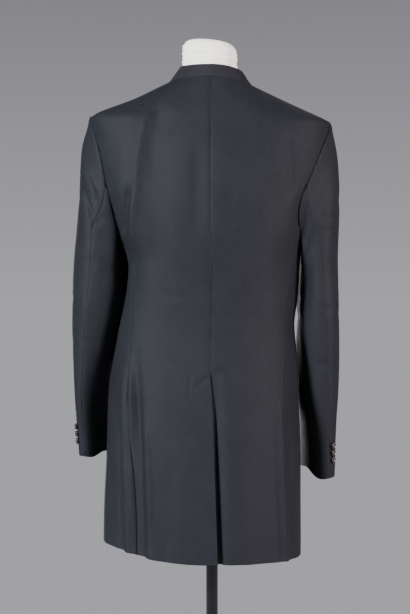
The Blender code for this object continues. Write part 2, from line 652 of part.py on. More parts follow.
def button_profile(radius, thick):
    """Dished button: raised rim, sunk middle, flat back."""
    return [(0.0, thick * 0.55), (radius * 0.62, thick * 0.55), (radius * 0.76, thick), (radius * 0.90, thick),
            (radius, thick * 0.55), (radius * 0.94, 0.0), (0.0, 0.0)]


def add_button(name, point, normal, radius, collection):
    item = turned(name, button_profile(radius, radius * 0.5), BUTTON_SIDES, collection, "horn")
    item.rotation_mode = "QUATERNION"
    item.rotation_quaternion = normal.to_track_quat("Z", "Y")
    item.location = point + normal * BUTTON_SEAT
    return item


# ---------------------------------------------------------------- the jacket
def make_panels(collection):
    """Backs, side panels and fronts, each pair sewn along the rows that it shares."""
    grids = {}
    seam_row = VENT_ROWS + 1
    join_row = len(SKIRT_HEIGHTS) - 1
    shoulder_row = join_row + ARM_ROWS
    for side, name in SIDES.items():
        for panel in ("back", "side", "front"):
            grids[panel, side] = panel_grid(panel, side)
        back, flank, front = grids["back", side], grids["side", side], grids["front", side]
        sew(back, -1, flank, 0, range(join_row + 1))
        sew(front, -1, flank, -1, range(join_row + 1))
        sew(back, -1, front, -1, range(shoulder_row, len(back)))
        armhole_rows = range(join_row + 1, shoulder_row)
        for grid in (back, front):
            draw_back(grid, armhole_rows, len(grid[0]) - 1, [SEAM_TRIM] * len(armhole_rows))
    sew(grids["back", 1], 0, grids["back", -1], 0, range(seam_row, len(back)))
    for (panel, side), grid in grids.items():
        cloth_piece(panel + "_" + SIDES[side], grid, body_axis, collection)


def grid_facet(grid, row, column):
    """Centre line point and normal of a sleeve grid near a row and a fractional column."""
    j = min(int(column), len(grid[0]) - 2)
    t = column - j
    a, b = grid[row][j], grid[row][j + 1]
    c, d = grid[row + 1][j], grid[row + 1][j + 1]
    normal = ((b + d) - (a + c)).cross((c + d) - (a + b))
    return a.lerp(b, t), c.lerp(d, t), normal.normalized()


def make_cuff_buttons(grid, side, collection):
    """Three buttons down the upper sleeve, next to its hind seam."""
    centre_y = sleeve_section(CUFF_BUTTON_TOP[side], 0.0, side)[1]
    for number in range(3):
        height = CUFF_BUTTON_TOP[side] - number * BUTTON_PITCH
        column = CUFF_BUTTON_COLUMN[side]
        row = min(range(SLEEVE_ROWS), key=lambda r: abs((grid[r][1].z + grid[r + 1][1].z) / 2 - height))
        upper, lower, normal = grid_facet(grid, row, column)
        t = (upper.z - height) / (upper.z - lower.z)
        point = upper.lerp(lower, t)
        inner, _ = sleeve_section(height, math.pi, side)
        if normal.dot(point - Vector((inner, centre_y, height))) < 0:
            normal = -normal
        name = "cuff_button_%s_%d" % (SIDES[side], number + 1)
        add_button(name, point, normal, BUTTON_RADIUS, collection)


def make_sleeves(collection):
    for side, name in SIDES.items():
        upper, under = sleeve_panels(side)
        for column in (0, -1):
            sew(upper, column, under, column, range(len(upper)), SLEEVE_TRIM)
        cloth_piece("upper_sleeve_" + name, upper, sleeve_axis(side), collection)
        cloth_piece("under_sleeve_" + name, under, sleeve_axis(side), collection)
        make_cuff_buttons(upper, side, collection)


def make_front_buttons(collection):
    for number in range(FRONT_BUTTONS):
        height = FRONT_BUTTON_TOP - number * FRONT_BUTTON_PITCH
        add_button("front_button_%d" % (number + 1), body_point(height, math.pi),
                   body_normal(height, math.pi), FRONT_BUTTON_RADIUS, collection)


# ---------------------------------------------------------------- form and stand
def make_form(collection):
    angles = [2 * math.pi * i / FORM_COLUMNS for i in range(FORM_COLUMNS)]
    heights = [row[0] for row in FORM_RINGS]
    rings = []
    for lower, upper in zip(heights, heights[1:]):
        steps = max(1, round((upper - lower) / FORM_STEP))
        rings += [[ring_point(FORM_RINGS, h, a) for a in angles] for h in spaced(lower, upper, steps)[:-1]]
    rings.append([ring_point(FORM_RINGS, heights[-1], a) for a in angles])
    ring_loft("form_torso", rings, collection, "form_fabric")


def make_neck(collection):
    height = NECK_TOP - FORM_TOP - SEAT
    bpy.ops.mesh.primitive_cylinder_add(vertices=NECK_SIDES, radius=1.0, depth=height)
    item = bpy.context.active_object
    item.name = "form_neck"
    item.data.name = "form_neck"
    for vertex in item.data.vertices:
        slant = NECK_SLANT * NECK_RADIUS * vertex.co.x if vertex.co.z > 0 else 0.0
        vertex.co = Vector((vertex.co.x * NECK_RADIUS, vertex.co.y * NECK_DEPTH_RADIUS, vertex.co.z + slant))
    item.location = (CENTRE_X, NECK_Y, FORM_TOP + SEAT + height / 2)
    for old in list(item.users_collection):
        old.objects.unlink(item)
    collection.objects.link(item)
    own = material("form_fabric").copy()
    own.name = "form_fabric_form_neck"
    item.data.materials.append(own)
    bevel = item.modifiers.new("Rounded top", "BEVEL")
    bevel.width = NECK_ROUNDING
    bevel.segments = 4
    bevel.limit_method = "ANGLE"
    bevel.angle_limit = math.radians(50)
    item.data.shade_smooth()


def make_stand(collection):
    rod_top = FORM_BOTTOM - SEAT
    rod_foot = BASE_THICK + HUB_HEIGHT + SEAT
    pole = [(0.0, rod_top), (PLATE_RADIUS, rod_top), (PLATE_RADIUS, rod_top - PLATE_THICK),
            (POLE_RADIUS, rod_top - 2 * PLATE_THICK), (POLE_RADIUS, rod_foot), (0.0, rod_foot)]
    turned("stand_pole", pole, POLE_SIDES, collection, "black_steel")
    hub_top = BASE_THICK + HUB_HEIGHT
    hub = [(0.0, hub_top), (HUB_RADIUS - HUB_EDGE, hub_top), (HUB_RADIUS, hub_top - HUB_EDGE),
           (HUB_RADIUS, BASE_THICK + 0.010), (HUB_RADIUS + FOOT_WIDTH, BASE_THICK + 0.003)]
    rim = [(BASE_RADIUS - 0.020, BASE_THICK), (BASE_RADIUS - 0.004, BASE_THICK - 0.003),
           (BASE_RADIUS, BASE_THICK - 0.007), (BASE_RADIUS, 0.0), (0.0, 0.0)]
    turned("stand_base", hub + rim, BASE_SIDES, collection, "black_steel")


def main():
    clear_scene()
    collection = bpy.data.collections.new("alpine_folk_jacket_on_dress_form")
    bpy.context.scene.collection.children.link(collection)
    make_panels(collection)
    make_sleeves(collection)
    collar = [collar_row(share) for share in spaced(0.0, 1.0, COLLAR_ROWS)]
    cloth_piece("collar", collar, body_axis, collection, COLLAR_WALL)
    make_front_buttons(collection)
    make_form(collection)
    make_neck(collection)
    make_stand(collection)


main()
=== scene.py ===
# %% [markdown]
# # A long wool jacket on a dress form
# The real object is a tailored jacket of smooth, dark blue-grey wool, put on a limbless dress form so that
# it hangs as if worn. The solids of the frame already have its true shape: every cut piece is a wall of
# cloth. What is left for this lesson is what a tailor and a weaver add: the thin, soft surface, the
# pressed seams, the creases of wear, the buttons, the stitches and the cloth itself.

# %% Load the frame
import math

import bmesh
import bpy
from mathutils import Matrix, Vector, noise
from mathutils.bvhtree import BVHTree
from mathutils.kdtree import KDTree


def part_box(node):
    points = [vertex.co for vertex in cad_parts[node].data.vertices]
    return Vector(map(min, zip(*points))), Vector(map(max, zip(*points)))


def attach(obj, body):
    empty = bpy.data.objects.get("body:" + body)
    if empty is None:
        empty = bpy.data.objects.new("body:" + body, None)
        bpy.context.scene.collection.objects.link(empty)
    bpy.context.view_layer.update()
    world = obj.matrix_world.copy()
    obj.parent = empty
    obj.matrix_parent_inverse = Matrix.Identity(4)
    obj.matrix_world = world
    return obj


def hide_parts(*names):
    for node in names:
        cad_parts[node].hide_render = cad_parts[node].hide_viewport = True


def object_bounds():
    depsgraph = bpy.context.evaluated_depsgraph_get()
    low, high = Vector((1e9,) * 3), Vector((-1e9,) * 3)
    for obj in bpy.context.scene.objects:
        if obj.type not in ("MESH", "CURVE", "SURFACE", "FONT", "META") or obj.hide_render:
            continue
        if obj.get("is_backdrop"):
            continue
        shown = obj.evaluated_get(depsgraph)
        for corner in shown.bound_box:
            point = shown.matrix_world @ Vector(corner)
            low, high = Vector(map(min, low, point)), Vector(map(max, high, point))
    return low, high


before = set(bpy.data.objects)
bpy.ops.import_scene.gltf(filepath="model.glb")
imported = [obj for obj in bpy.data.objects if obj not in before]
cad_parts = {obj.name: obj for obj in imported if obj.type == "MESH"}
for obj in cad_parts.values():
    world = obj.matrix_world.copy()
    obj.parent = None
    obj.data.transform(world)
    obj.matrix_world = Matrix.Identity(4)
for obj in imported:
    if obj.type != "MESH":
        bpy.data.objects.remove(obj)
SOLID_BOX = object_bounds()
print("nodes:", len(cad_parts), "box:", [[round(v, 4) for v in corner] for corner in SOLID_BOX])

# %% [markdown]
# ## Helpers for colours, shader nodes and objects
# Colours are written as the sRGB hex values that a picture program shows. Shaders work in linear light,
# so one function turns them. Another adds a node with its settings and links, which keeps every material
# short enough to read from top to bottom. The last two turn a bmesh into a mesh, and put an object in the
# scene.

# %% Colour, node and object helpers
def linear(code, alpha=1.0):
    """A hex colour such as 3a3f45 as linear red, green, blue and alpha."""
    shares = [int(code[i:i + 2], 16) / 255 for i in (0, 2, 4)]
    return tuple(s / 12.92 if s <= 0.04045 else ((s + 0.055) / 1.055) ** 2.4 for s in shares) + (alpha,)


def feed(node, inputs):
    """Sets inputs of a node: to a plain value, or to another node's socket or first output."""
    for name, value in inputs.items():
        if isinstance(value, bpy.types.Node):
            value = next(socket for socket in value.outputs if socket.enabled)
        if isinstance(value, bpy.types.NodeSocket):
            node.id_data.links.new(value, node.inputs[name])
        else:
            node.inputs[name].default_value = value
    return node


def add_node(tree, kind, inputs=None, **settings):
    """Adds a shader node, with its own settings first and its inputs then."""
    node = tree.nodes.new("ShaderNode" + kind)
    for name, value in settings.items():
        setattr(node, name, value)
    return feed(node, inputs or {})


def new_material(name, base, roughness, **sockets):
    """A material with one Principled shader, and the tree and the shader to add to."""
    made = bpy.data.materials.new(name)
    made.use_nodes = True
    shader = made.node_tree.nodes["Principled BSDF"]
    feed(shader, {"Base Color": linear(base), "Roughness": roughness})
    feed(shader, {name.replace("_", " "): value for name, value in sockets.items()})
    return made, made.node_tree, shader


def mesh_of(work, name):
    """The bmesh as a mesh, after which the bmesh is freed."""
    mesh = bpy.data.meshes.new(name)
    work.to_mesh(mesh)
    work.free()
    return mesh


def add_object(name, data):
    """An object of the scene, at the origin."""
    item = bpy.data.objects.new(name, data)
    bpy.context.scene.collection.objects.link(item)
    return item


print("a mid grey in linear light:", round(linear("808080")[0], 3))

# %% [markdown]
# ## The wool
# The cloth is a worsted: long combed fibres, spun fine and woven as a twill, then pressed smooth. Up close
# it shows diagonal ribs about half a millimetre apart, and dyed fibres that are never quite one colour,
# some bluer and some browner. From a step away it reads as one soft, dark, slightly mottled surface with a
# faint bloom where the light grazes it, which is the shader's sheen. The ribs are drawn 1.2 mm apart,
# coarser than real, because finer ones wouldn't show. The pattern follows the cloth on a UV map that is
# measured in metres, so it doesn't stretch and is the same size on every piece.

# %% Make the worsted
RIB = 0.0012                 # distance between the twill's ribs
RIB_SLANT = math.radians(58)
WAVE_PERIOD = 0.31416        # the wave texture repeats after this length at scale 1
FIBRE = (520, 60, 1)         # streaks of fibre in a metre, across and along: 2 mm wide, 17 mm long
CLOUD = 14.0                 # patches of uneven dye in a metre, 7 cm each


def make_worsted(name, dark, light, bloom):
    made, tree, shader = new_material(name, dark, 0.66, Sheen_Weight=0.04, Sheen_Roughness=0.40,
                                      Sheen_Tint=linear(bloom), Specular_IOR_Level=0.13)
    metres = add_node(tree, "UVMap", uv_map="cloth")
    slanted = add_node(tree, "Mapping", {"Vector": metres, "Rotation": (0, 0, RIB_SLANT)})
    ribs = add_node(tree, "TexWave", {"Vector": slanted, "Scale": WAVE_PERIOD / RIB, "Distortion": 1.2,
                                      "Detail": 1.0, "Detail Scale": 2.0})
    upright = add_node(tree, "Mapping", {"Vector": metres, "Scale": FIBRE})
    fibres = add_node(tree, "TexNoise", {"Vector": upright, "Scale": 1.0, "Detail": 3.0, "Roughness": 0.65})
    clouds = add_node(tree, "TexNoise", {"Vector": metres, "Scale": CLOUD, "Detail": 4.0, "Roughness": 0.60})
    fine = add_node(tree, "MapRange", {"Value": fibres, "From Min": 0.25, "From Max": 0.75, "To Max": 0.62})
    broad = add_node(tree, "MapRange", {"Value": clouds, "From Min": 0.30, "From Max": 0.70, "To Max": 0.22})
    share = add_node(tree, "Math", {0: fine, 1: broad}, operation="ADD")
    mixed = add_node(tree, "Mix", {"Factor": share, "A": linear(dark), "B": linear(light)}, data_type="RGBA")
    relief = add_node(tree, "Math", {0: ribs.outputs["Fac"], 1: fibres}, operation="ADD")
    bump = add_node(tree, "Bump", {"Height": relief, "Strength": 0.35, "Distance": 0.0003})
    feed(shader, {"Base Color": mixed, "Normal": bump})
    return made


WORSTED = make_worsted("worsted_wool_twill_anthracite", "101215", "1f2125", "8c9098")
# The collar's wool is the body's, with painted light: lighter and more plum grey, for the light its cross
# grain catches.
COLLAR_WORSTED_PAINTED_LIT = make_worsted("worsted_wool_twill_with_painted_light", "141417", "262529", "96929f")
print("cloth:", WORSTED.name, "and", COLLAR_WORSTED_PAINTED_LIT.name)

# %% [markdown]
# ## Horn, thread, cotton and steel
# Buttons of this kind are sawn and turned from cattle horn, dark brown with paler streaks, and polished.
# The thread is waxed. The form's neck is bound with strips of white cotton, its torso is covered with cotton
# jersey, and the stand is steel with a black powder coat, whose fine orange-peel skin scatters light.

# %% Make the other finishes
HORN_GRAIN = (180, 600, 180)             # streaks in a metre, along each axis: 6 mm long and 2 mm wide
SLUB = 160.0                 # slubs of the cotton in a metre, one every 6 mm
PEEL = 900.0                 # dimples of the powder coat in a metre, about one a millimetre
WEAR = 35.0                  # patches of duller coat in a metre, 3 cm each


def make_horn():
    made, tree, shader = new_material("cattle_horn_turned_and_polished", "1d1715", 0.28, Coat_Weight=0.35,
                                      Coat_Roughness=0.12)
    place = add_node(tree, "TexCoord").outputs["Object"]
    grain = add_node(tree, "Mapping", {"Vector": place, "Scale": HORN_GRAIN})
    streaks = add_node(tree, "TexNoise", {"Vector": grain, "Scale": 1.0, "Detail": 4.0, "Distortion": 0.8})
    mixed = add_node(tree, "Mix", {"Factor": streaks, "A": linear("0b0909"), "B": linear("33261f")},
                     data_type="RGBA")
    feed(shader, {"Base Color": mixed})
    return made


def make_cotton(name, dark, light, pitch, relief):
    made, tree, shader = new_material(name, light, 0.85, Sheen_Weight=0.15, Sheen_Roughness=0.5)
    place = add_node(tree, "TexCoord").outputs["Object"]
    rows = add_node(tree, "TexWave", {"Vector": place, "Scale": WAVE_PERIOD / pitch, "Distortion": 0.6,
                                      "Detail": 2.0}, bands_direction="Z")
    slubs = add_node(tree, "TexNoise", {"Vector": place, "Scale": SLUB, "Detail": 4.0})
    mixed = add_node(tree, "Mix", {"Factor": slubs, "A": linear(dark), "B": linear(light)}, data_type="RGBA")
    height = add_node(tree, "Math", {0: rows.outputs["Fac"], 1: slubs}, operation="ADD")
    bump = add_node(tree, "Bump", {"Height": height, "Strength": 0.4, "Distance": relief})
    feed(shader, {"Base Color": mixed, "Normal": bump})
    return made


def make_coated_steel():
    made, tree, shader = new_material("mild_steel_black_powder_coat", "09090a", 0.46, Coat_Weight=0.03,
                                      Coat_Roughness=0.3, Specular_IOR_Level=0.20)
    place = add_node(tree, "TexCoord").outputs["Object"]
    peel = add_node(tree, "TexNoise", {"Vector": place, "Scale": PEEL, "Detail": 2.0})
    wear = add_node(tree, "TexNoise", {"Vector": place, "Scale": WEAR, "Detail": 5.0})
    rough = add_node(tree, "MapRange", {"Value": wear, "To Min": 0.34, "To Max": 0.52})
    bump = add_node(tree, "Bump", {"Height": peel, "Strength": 0.15, "Distance": 0.0002})
    feed(shader, {"Roughness": rough, "Normal": bump})
    return made


HORN = make_horn()
BINDING = make_cotton("bleached_cotton_binding", "e4dac8", "fffdf6", 0.0046, 0.0012)
JERSEY = make_cotton("cotton_jersey_cover", "c9c4bb", "dfdad2", 0.0016, 0.0002)
STEEL = make_coated_steel()
THREAD = new_material("waxed_polyester_thread", "0b0c0e", 0.62, Specular_IOR_Level=0.25)[0]
print("finishes:", HORN.name, BINDING.name, JERSEY.name, STEEL.name, THREAD.name)

# %% [markdown]
# ## From a solid wall to a thin skin
# Each cut piece of the frame is a closed wall of cloth with an outer face, an inner face and narrow rims.
# The outer face is the surface that the tailor shaped, so the visible cloth starts from a copy of it. The
# copy's loose triangles are merged first. Then the faces are grouped: two neighbours belong together
# unless they meet at a sharp edge, as a face and a rim do. Of the groups, the one that looks away from the
# wearer is the outer face. This needs no list of points, and it follows the solid exactly.

# %% Take the outer face of a cut piece
MERGE = 0.00001
SHARP_EDGE = math.radians(64)
SLEEVE_AXIS = {"left": Vector((0.217, -0.020, 0.0)), "right": Vector((-0.206, -0.020, 0.0))}


def inside_of(name):
    """A vertical line inside the piece: the sleeve's for a sleeve, and else the wearer's."""
    return SLEEVE_AXIS[name.split("_")[-1]] if "sleeve" in name else Vector()


def node_copy(name):
    """A copy of a node's solid, with its loose triangles merged."""
    work = bmesh.new()
    work.from_mesh(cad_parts[name].data)
    bmesh.ops.remove_doubles(work, verts=work.verts, dist=MERGE)
    return work


def pair_up(work, flatness):
    """Joins pairs of triangles into quads, where they are as flat as this angle."""
    bmesh.ops.join_triangles(work, faces=work.faces, cmp_seam=False, cmp_sharp=False, cmp_uvs=False,
                             cmp_vcols=False, cmp_materials=False, angle_face_threshold=flatness,
                             angle_shape_threshold=math.pi)


def outer_face(name):
    """The outer face of a node's wall, as quads where its triangles pair up."""
    work = node_copy(name)
    groups, seen = [], set()
    for first in work.faces:
        if first in seen:
            continue
        group, waiting = [], [first]
        seen.add(first)
        while waiting:
            face = waiting.pop()
            group.append(face)
            for edge in face.edges:
                if edge.calc_face_angle(math.pi) < SHARP_EDGE:
                    for other in edge.link_faces:
                        if other not in seen:
                            seen.add(other)
                            waiting.append(other)
        groups.append(group)
    axis = inside_of(name)

    def looks_out(group):
        total = 0.0
        for face in group:
            away = face.calc_center_median() - axis
            away.z = 0.0
            total += face.calc_area() * face.normal.dot(away.normalized())
        return total

    keep = set(max(groups, key=looks_out))
    bmesh.ops.delete(work, geom=[face for face in work.faces if face not in keep], context="FACES")
    pair_up(work, math.pi)
    return work


PANELS = [piece + "_" + side for piece in ("back", "side", "front", "upper_sleeve", "under_sleeve")
          for side in ("left", "right")]
for panel in PANELS[:2]:
    skin = outer_face(panel)
    print(panel, "quads and triangles:", sorted((len(f.verts) for f in skin.faces))[:3], len(skin.faces))
    skin.free()

# %% [markdown]
# ## Rounding the facets
# The solid is made of flat facets, as a paper model is. Catmull-Clark subdivision replaces them with the
# smooth surface that they stand for, and leaves the open edges where they are, because a boundary is
# smoothed only along itself. Three levels give a vertex about every four millimetres, which is fine
# enough for a soft crease. The helper below runs the modifier on a throw-away object and reads it back.

# %% Smooth a skin
def smoothed(work, levels):
    """The skin after so many levels of Catmull-Clark subdivision."""
    mesh = mesh_of(work, "smoothing")
    item = add_object("smoothing", mesh)
    modifier = item.modifiers.new("Subdivision", "SUBSURF")
    modifier.levels = levels
    modifier.render_levels = levels
    modifier.boundary_smooth = "PRESERVE_CORNERS"
    done = item.evaluated_get(bpy.context.evaluated_depsgraph_get()).to_mesh()
    result = bmesh.new()
    result.from_mesh(done)
    bpy.data.objects.remove(item, do_unlink=True)
    bpy.data.meshes.remove(mesh)
    result.normal_update()
    return result


LEVELS = 3
skins = {name: smoothed(outer_face(name), LEVELS) for name in PANELS}
print("vertices:", {name: len(skin.verts) for name, skin in skins.items()})

# %% [markdown]
# ## Pressed seams
# On the real jacket two panels are stitched together inside and pressed open, so from outside the seam is
# a fine groove with a soft roll on each side. In the frame the panels stop just short of each other. Here a
# narrow band is marked off along each open edge with an inset, the edge itself is moved to the middle of
# the gap and a little inwards, and the band follows less and less with its distance. A sleeve is set on
# top of the armhole, so its edge comes down most of the way and its head stands a little proud, which
# is the crisp shoulder of the photo. Only in front of the head, where the gap is wide, does the panel come to
# the sleeve. An edge that meets nothing, such as the hem, stays free. Which point of an edge meets which is
# kept for later, and so is the way that each point of the cloth faces now.

# %% Draw the seams together
BAND = 0.0009                # inset along every edge
REACH = 0.0065               # an edge looks this far for its partner
SLEEVE_REACH = 0.0145        # the same between a sleeve and its armhole
SLEEVE_SHARE = 0.85          # how much of the gap at an armhole the sleeve's edge crosses
WIDE_SHARE = 0.10            # the same in front of the sleeve's head, where the gap is wide
SNUG, GAPING = 0.0028, 0.0055            # gaps: up to the first it isn't wide, and from the second it is
HEAD_TOP, HEAD_FRONT = -0.004, -0.020    # the wide share sets in from the first Y to the second
GROOVE = 0.0009              # how deep a seam sinks
BACK_GROOVE = 0.0014         # the same at the middle of the back, where the cloth pulls most
SOFT = 0.0065                # the cloth beside a seam follows over this width
YIELD = 2.2                  # and less than in proportion, by this power


def share_between(low, high, value):
    """How far a value has come from low to high, from 0 to 1."""
    return min(max((value - low) / (high - low), 0.0), 1.0)


def mark_band(skin, width):
    """A narrow band of faces along the skin's open edges."""
    bmesh.ops.inset_region(skin, faces=skin.faces[:], use_boundary=True, use_even_offset=True,
                           thickness=width)
    skin.normal_update()


for skin in skins.values():
    mark_band(skin, BAND)

facings = {name: [vertex.normal.copy() for vertex in skin.verts] for name, skin in skins.items()}
edges = {name: [(vertex.co.copy(), vertex.normal.copy()) for vertex in skin.verts if vertex.is_boundary]
         for name, skin in skins.items()}


def tree_of(places):
    """A search tree over some places."""
    tree = KDTree(len(places))
    for index, place in enumerate(places):
        tree.insert(place, index)
    tree.balance()
    return tree


def seam_moves(name):
    """For each point of an edge, how it moves to meet its partner and which one that is, or None twice."""
    others = [(other, index) for other in edges if other != name for index in range(len(edges[other]))]
    tree = tree_of([edges[other][index][0] for other, index in others])
    moves, partners = [], []
    for co, normal in edges[name]:
        near, index, distance = tree.find(co)
        sleeve, other_sleeve = "sleeve" in name, "sleeve" in others[index][0]
        if distance > (REACH if sleeve == other_sleeve else SLEEVE_REACH):
            moves.append(None)
            partners.append(None)
            continue
        share = 0.5
        if sleeve != other_sleeve:
            wide = share_between(SNUG, GAPING, distance) * share_between(HEAD_TOP, HEAD_FRONT, co.y)
            share = SLEEVE_SHARE + (WIDE_SHARE - SLEEVE_SHARE) * wide
            share = share if sleeve else 1 - share
        middle = name.startswith("back") and others[index][0].startswith("back")
        moves.append((near - co) * share - normal * (BACK_GROOVE if middle else GROOVE))
        partners.append(others[index])
    return moves, partners


def follow(skin, places, moves, width):
    """Moves the edge, which lies at these places, and the cloth beside it less and less."""
    tree = tree_of(places)
    for vertex in skin.verts:
        co, index, distance = tree.find(vertex.co)
        if distance < width and moves[index] is not None:
            vertex.co += moves[index] * (1 - distance / width) ** YIELD
    skin.normal_update()


partners = {}
for name, skin in skins.items():
    moves, partners[name] = seam_moves(name)
    follow(skin, [co for co, _ in edges[name]], moves, SOFT)
    print(name, "edge points that meet a partner:", len(moves) - moves.count(None), "of", len(moves))

# %% [markdown]
# ## Pulls of wear
# A worn jacket isn't quite in its cut shape: the armholes are drawn in behind the arms, and a side seam
# swings with the skirt. A pull moves all pieces round a place together, so seams stay closed. It is a place,
# how far it is felt across and up, and the way that the cloth there goes, all in millimetres.

# %% Pull the cloth
MM = 0.001
PULL_COLUMNS = ("pieces", "x", "y", "z", "across", "up", "dx", "dy", "dz")
PULLS = (
    ("left", 187, 85, 1258, 48, 75, -8, 3, 0),
    ("right", -166, 85, 1264, 48, 85, 8.2, 3, 0),
    ("sleeve_left", 190, 55, 1226, 46, 78, -13.5, 0, 0),
    ("sleeve_right", -163, 78, 1236, 24, 80, 3, -11, 0),
    ("sleeve_right", -168, 40, 1140, 36, 100, -5, 0, 0),
    ("left", 150, 95, 890, 70, 200, 8, -4.4, 0),
    ("sleeve_left", 230, 4, 810, 36, 50, 0, 1, -7.8),
    ("sleeve_left", 256, -10, 809, 18, 30, -1, 0, 5.5),
    ("sleeve_right", -205, 5, 775, 40, 60, 0, 1, -16.5),
    ("sleeve_right", -238, -12, 767, 16, 30, 1, 0, 6.5),
)


def ease(t):
    """A soft step from 0 to 1."""
    t = min(max(t, 0.0), 1.0)
    return t * t * (3 - 2 * t)


def pull(skin, name):
    """Moves a skin's vertices by the pulls near them."""
    most = 0.0
    for row in PULLS:
        fact = dict(zip(PULL_COLUMNS, row))
        if fact["pieces"] not in name:
            continue
        centre = Vector((fact["x"], fact["y"], fact["z"])) * MM
        way = Vector((fact["dx"], fact["dy"], fact["dz"])) * MM
        across, up = fact["across"] * MM, fact["up"] * MM
        for vertex in skin.verts:
            off = vertex.co - centre
            distance = Vector((off.x / across, off.y / across, off.z / up)).length
            if distance < 1:
                vertex.co += way * ease(1 - distance)
                most = max(most, way.length * ease(1 - distance))
    skin.normal_update()
    return most


for name, skin in skins.items():
    print(name, "pulled by at most", round(pull(skin, name) * 1000, 1), "mm")

# %% [markdown]
# ## Creases
# Pressed wool falls in long, soft folds: from the shoulder blades, at the bend of the elbows, and down the
# skirt, where the side seams hang. They are listed by the pieces that they cross and the side from which
# they are seen. Each one is a row in millimetres: three places on it (across and up), the widths of its
# flanks towards lower and higher numbers across, for a fold that runs down, and how far it stands out, a
# trough being negative. A fold has one steep and one gentle flank, no two are alike, and the front, which the
# photo doesn't show, gets quieter ones of the same kind. A vertex moves the way it faces by the sum of what
# the rows say, and a slow noise keeps the cloth between them from looking cast. Near the end, broad rows
# plump the under sleeves towards the body, where they rest in the hollow of its waist, and the last two are
# the dent and the line of stitches beside the vent.

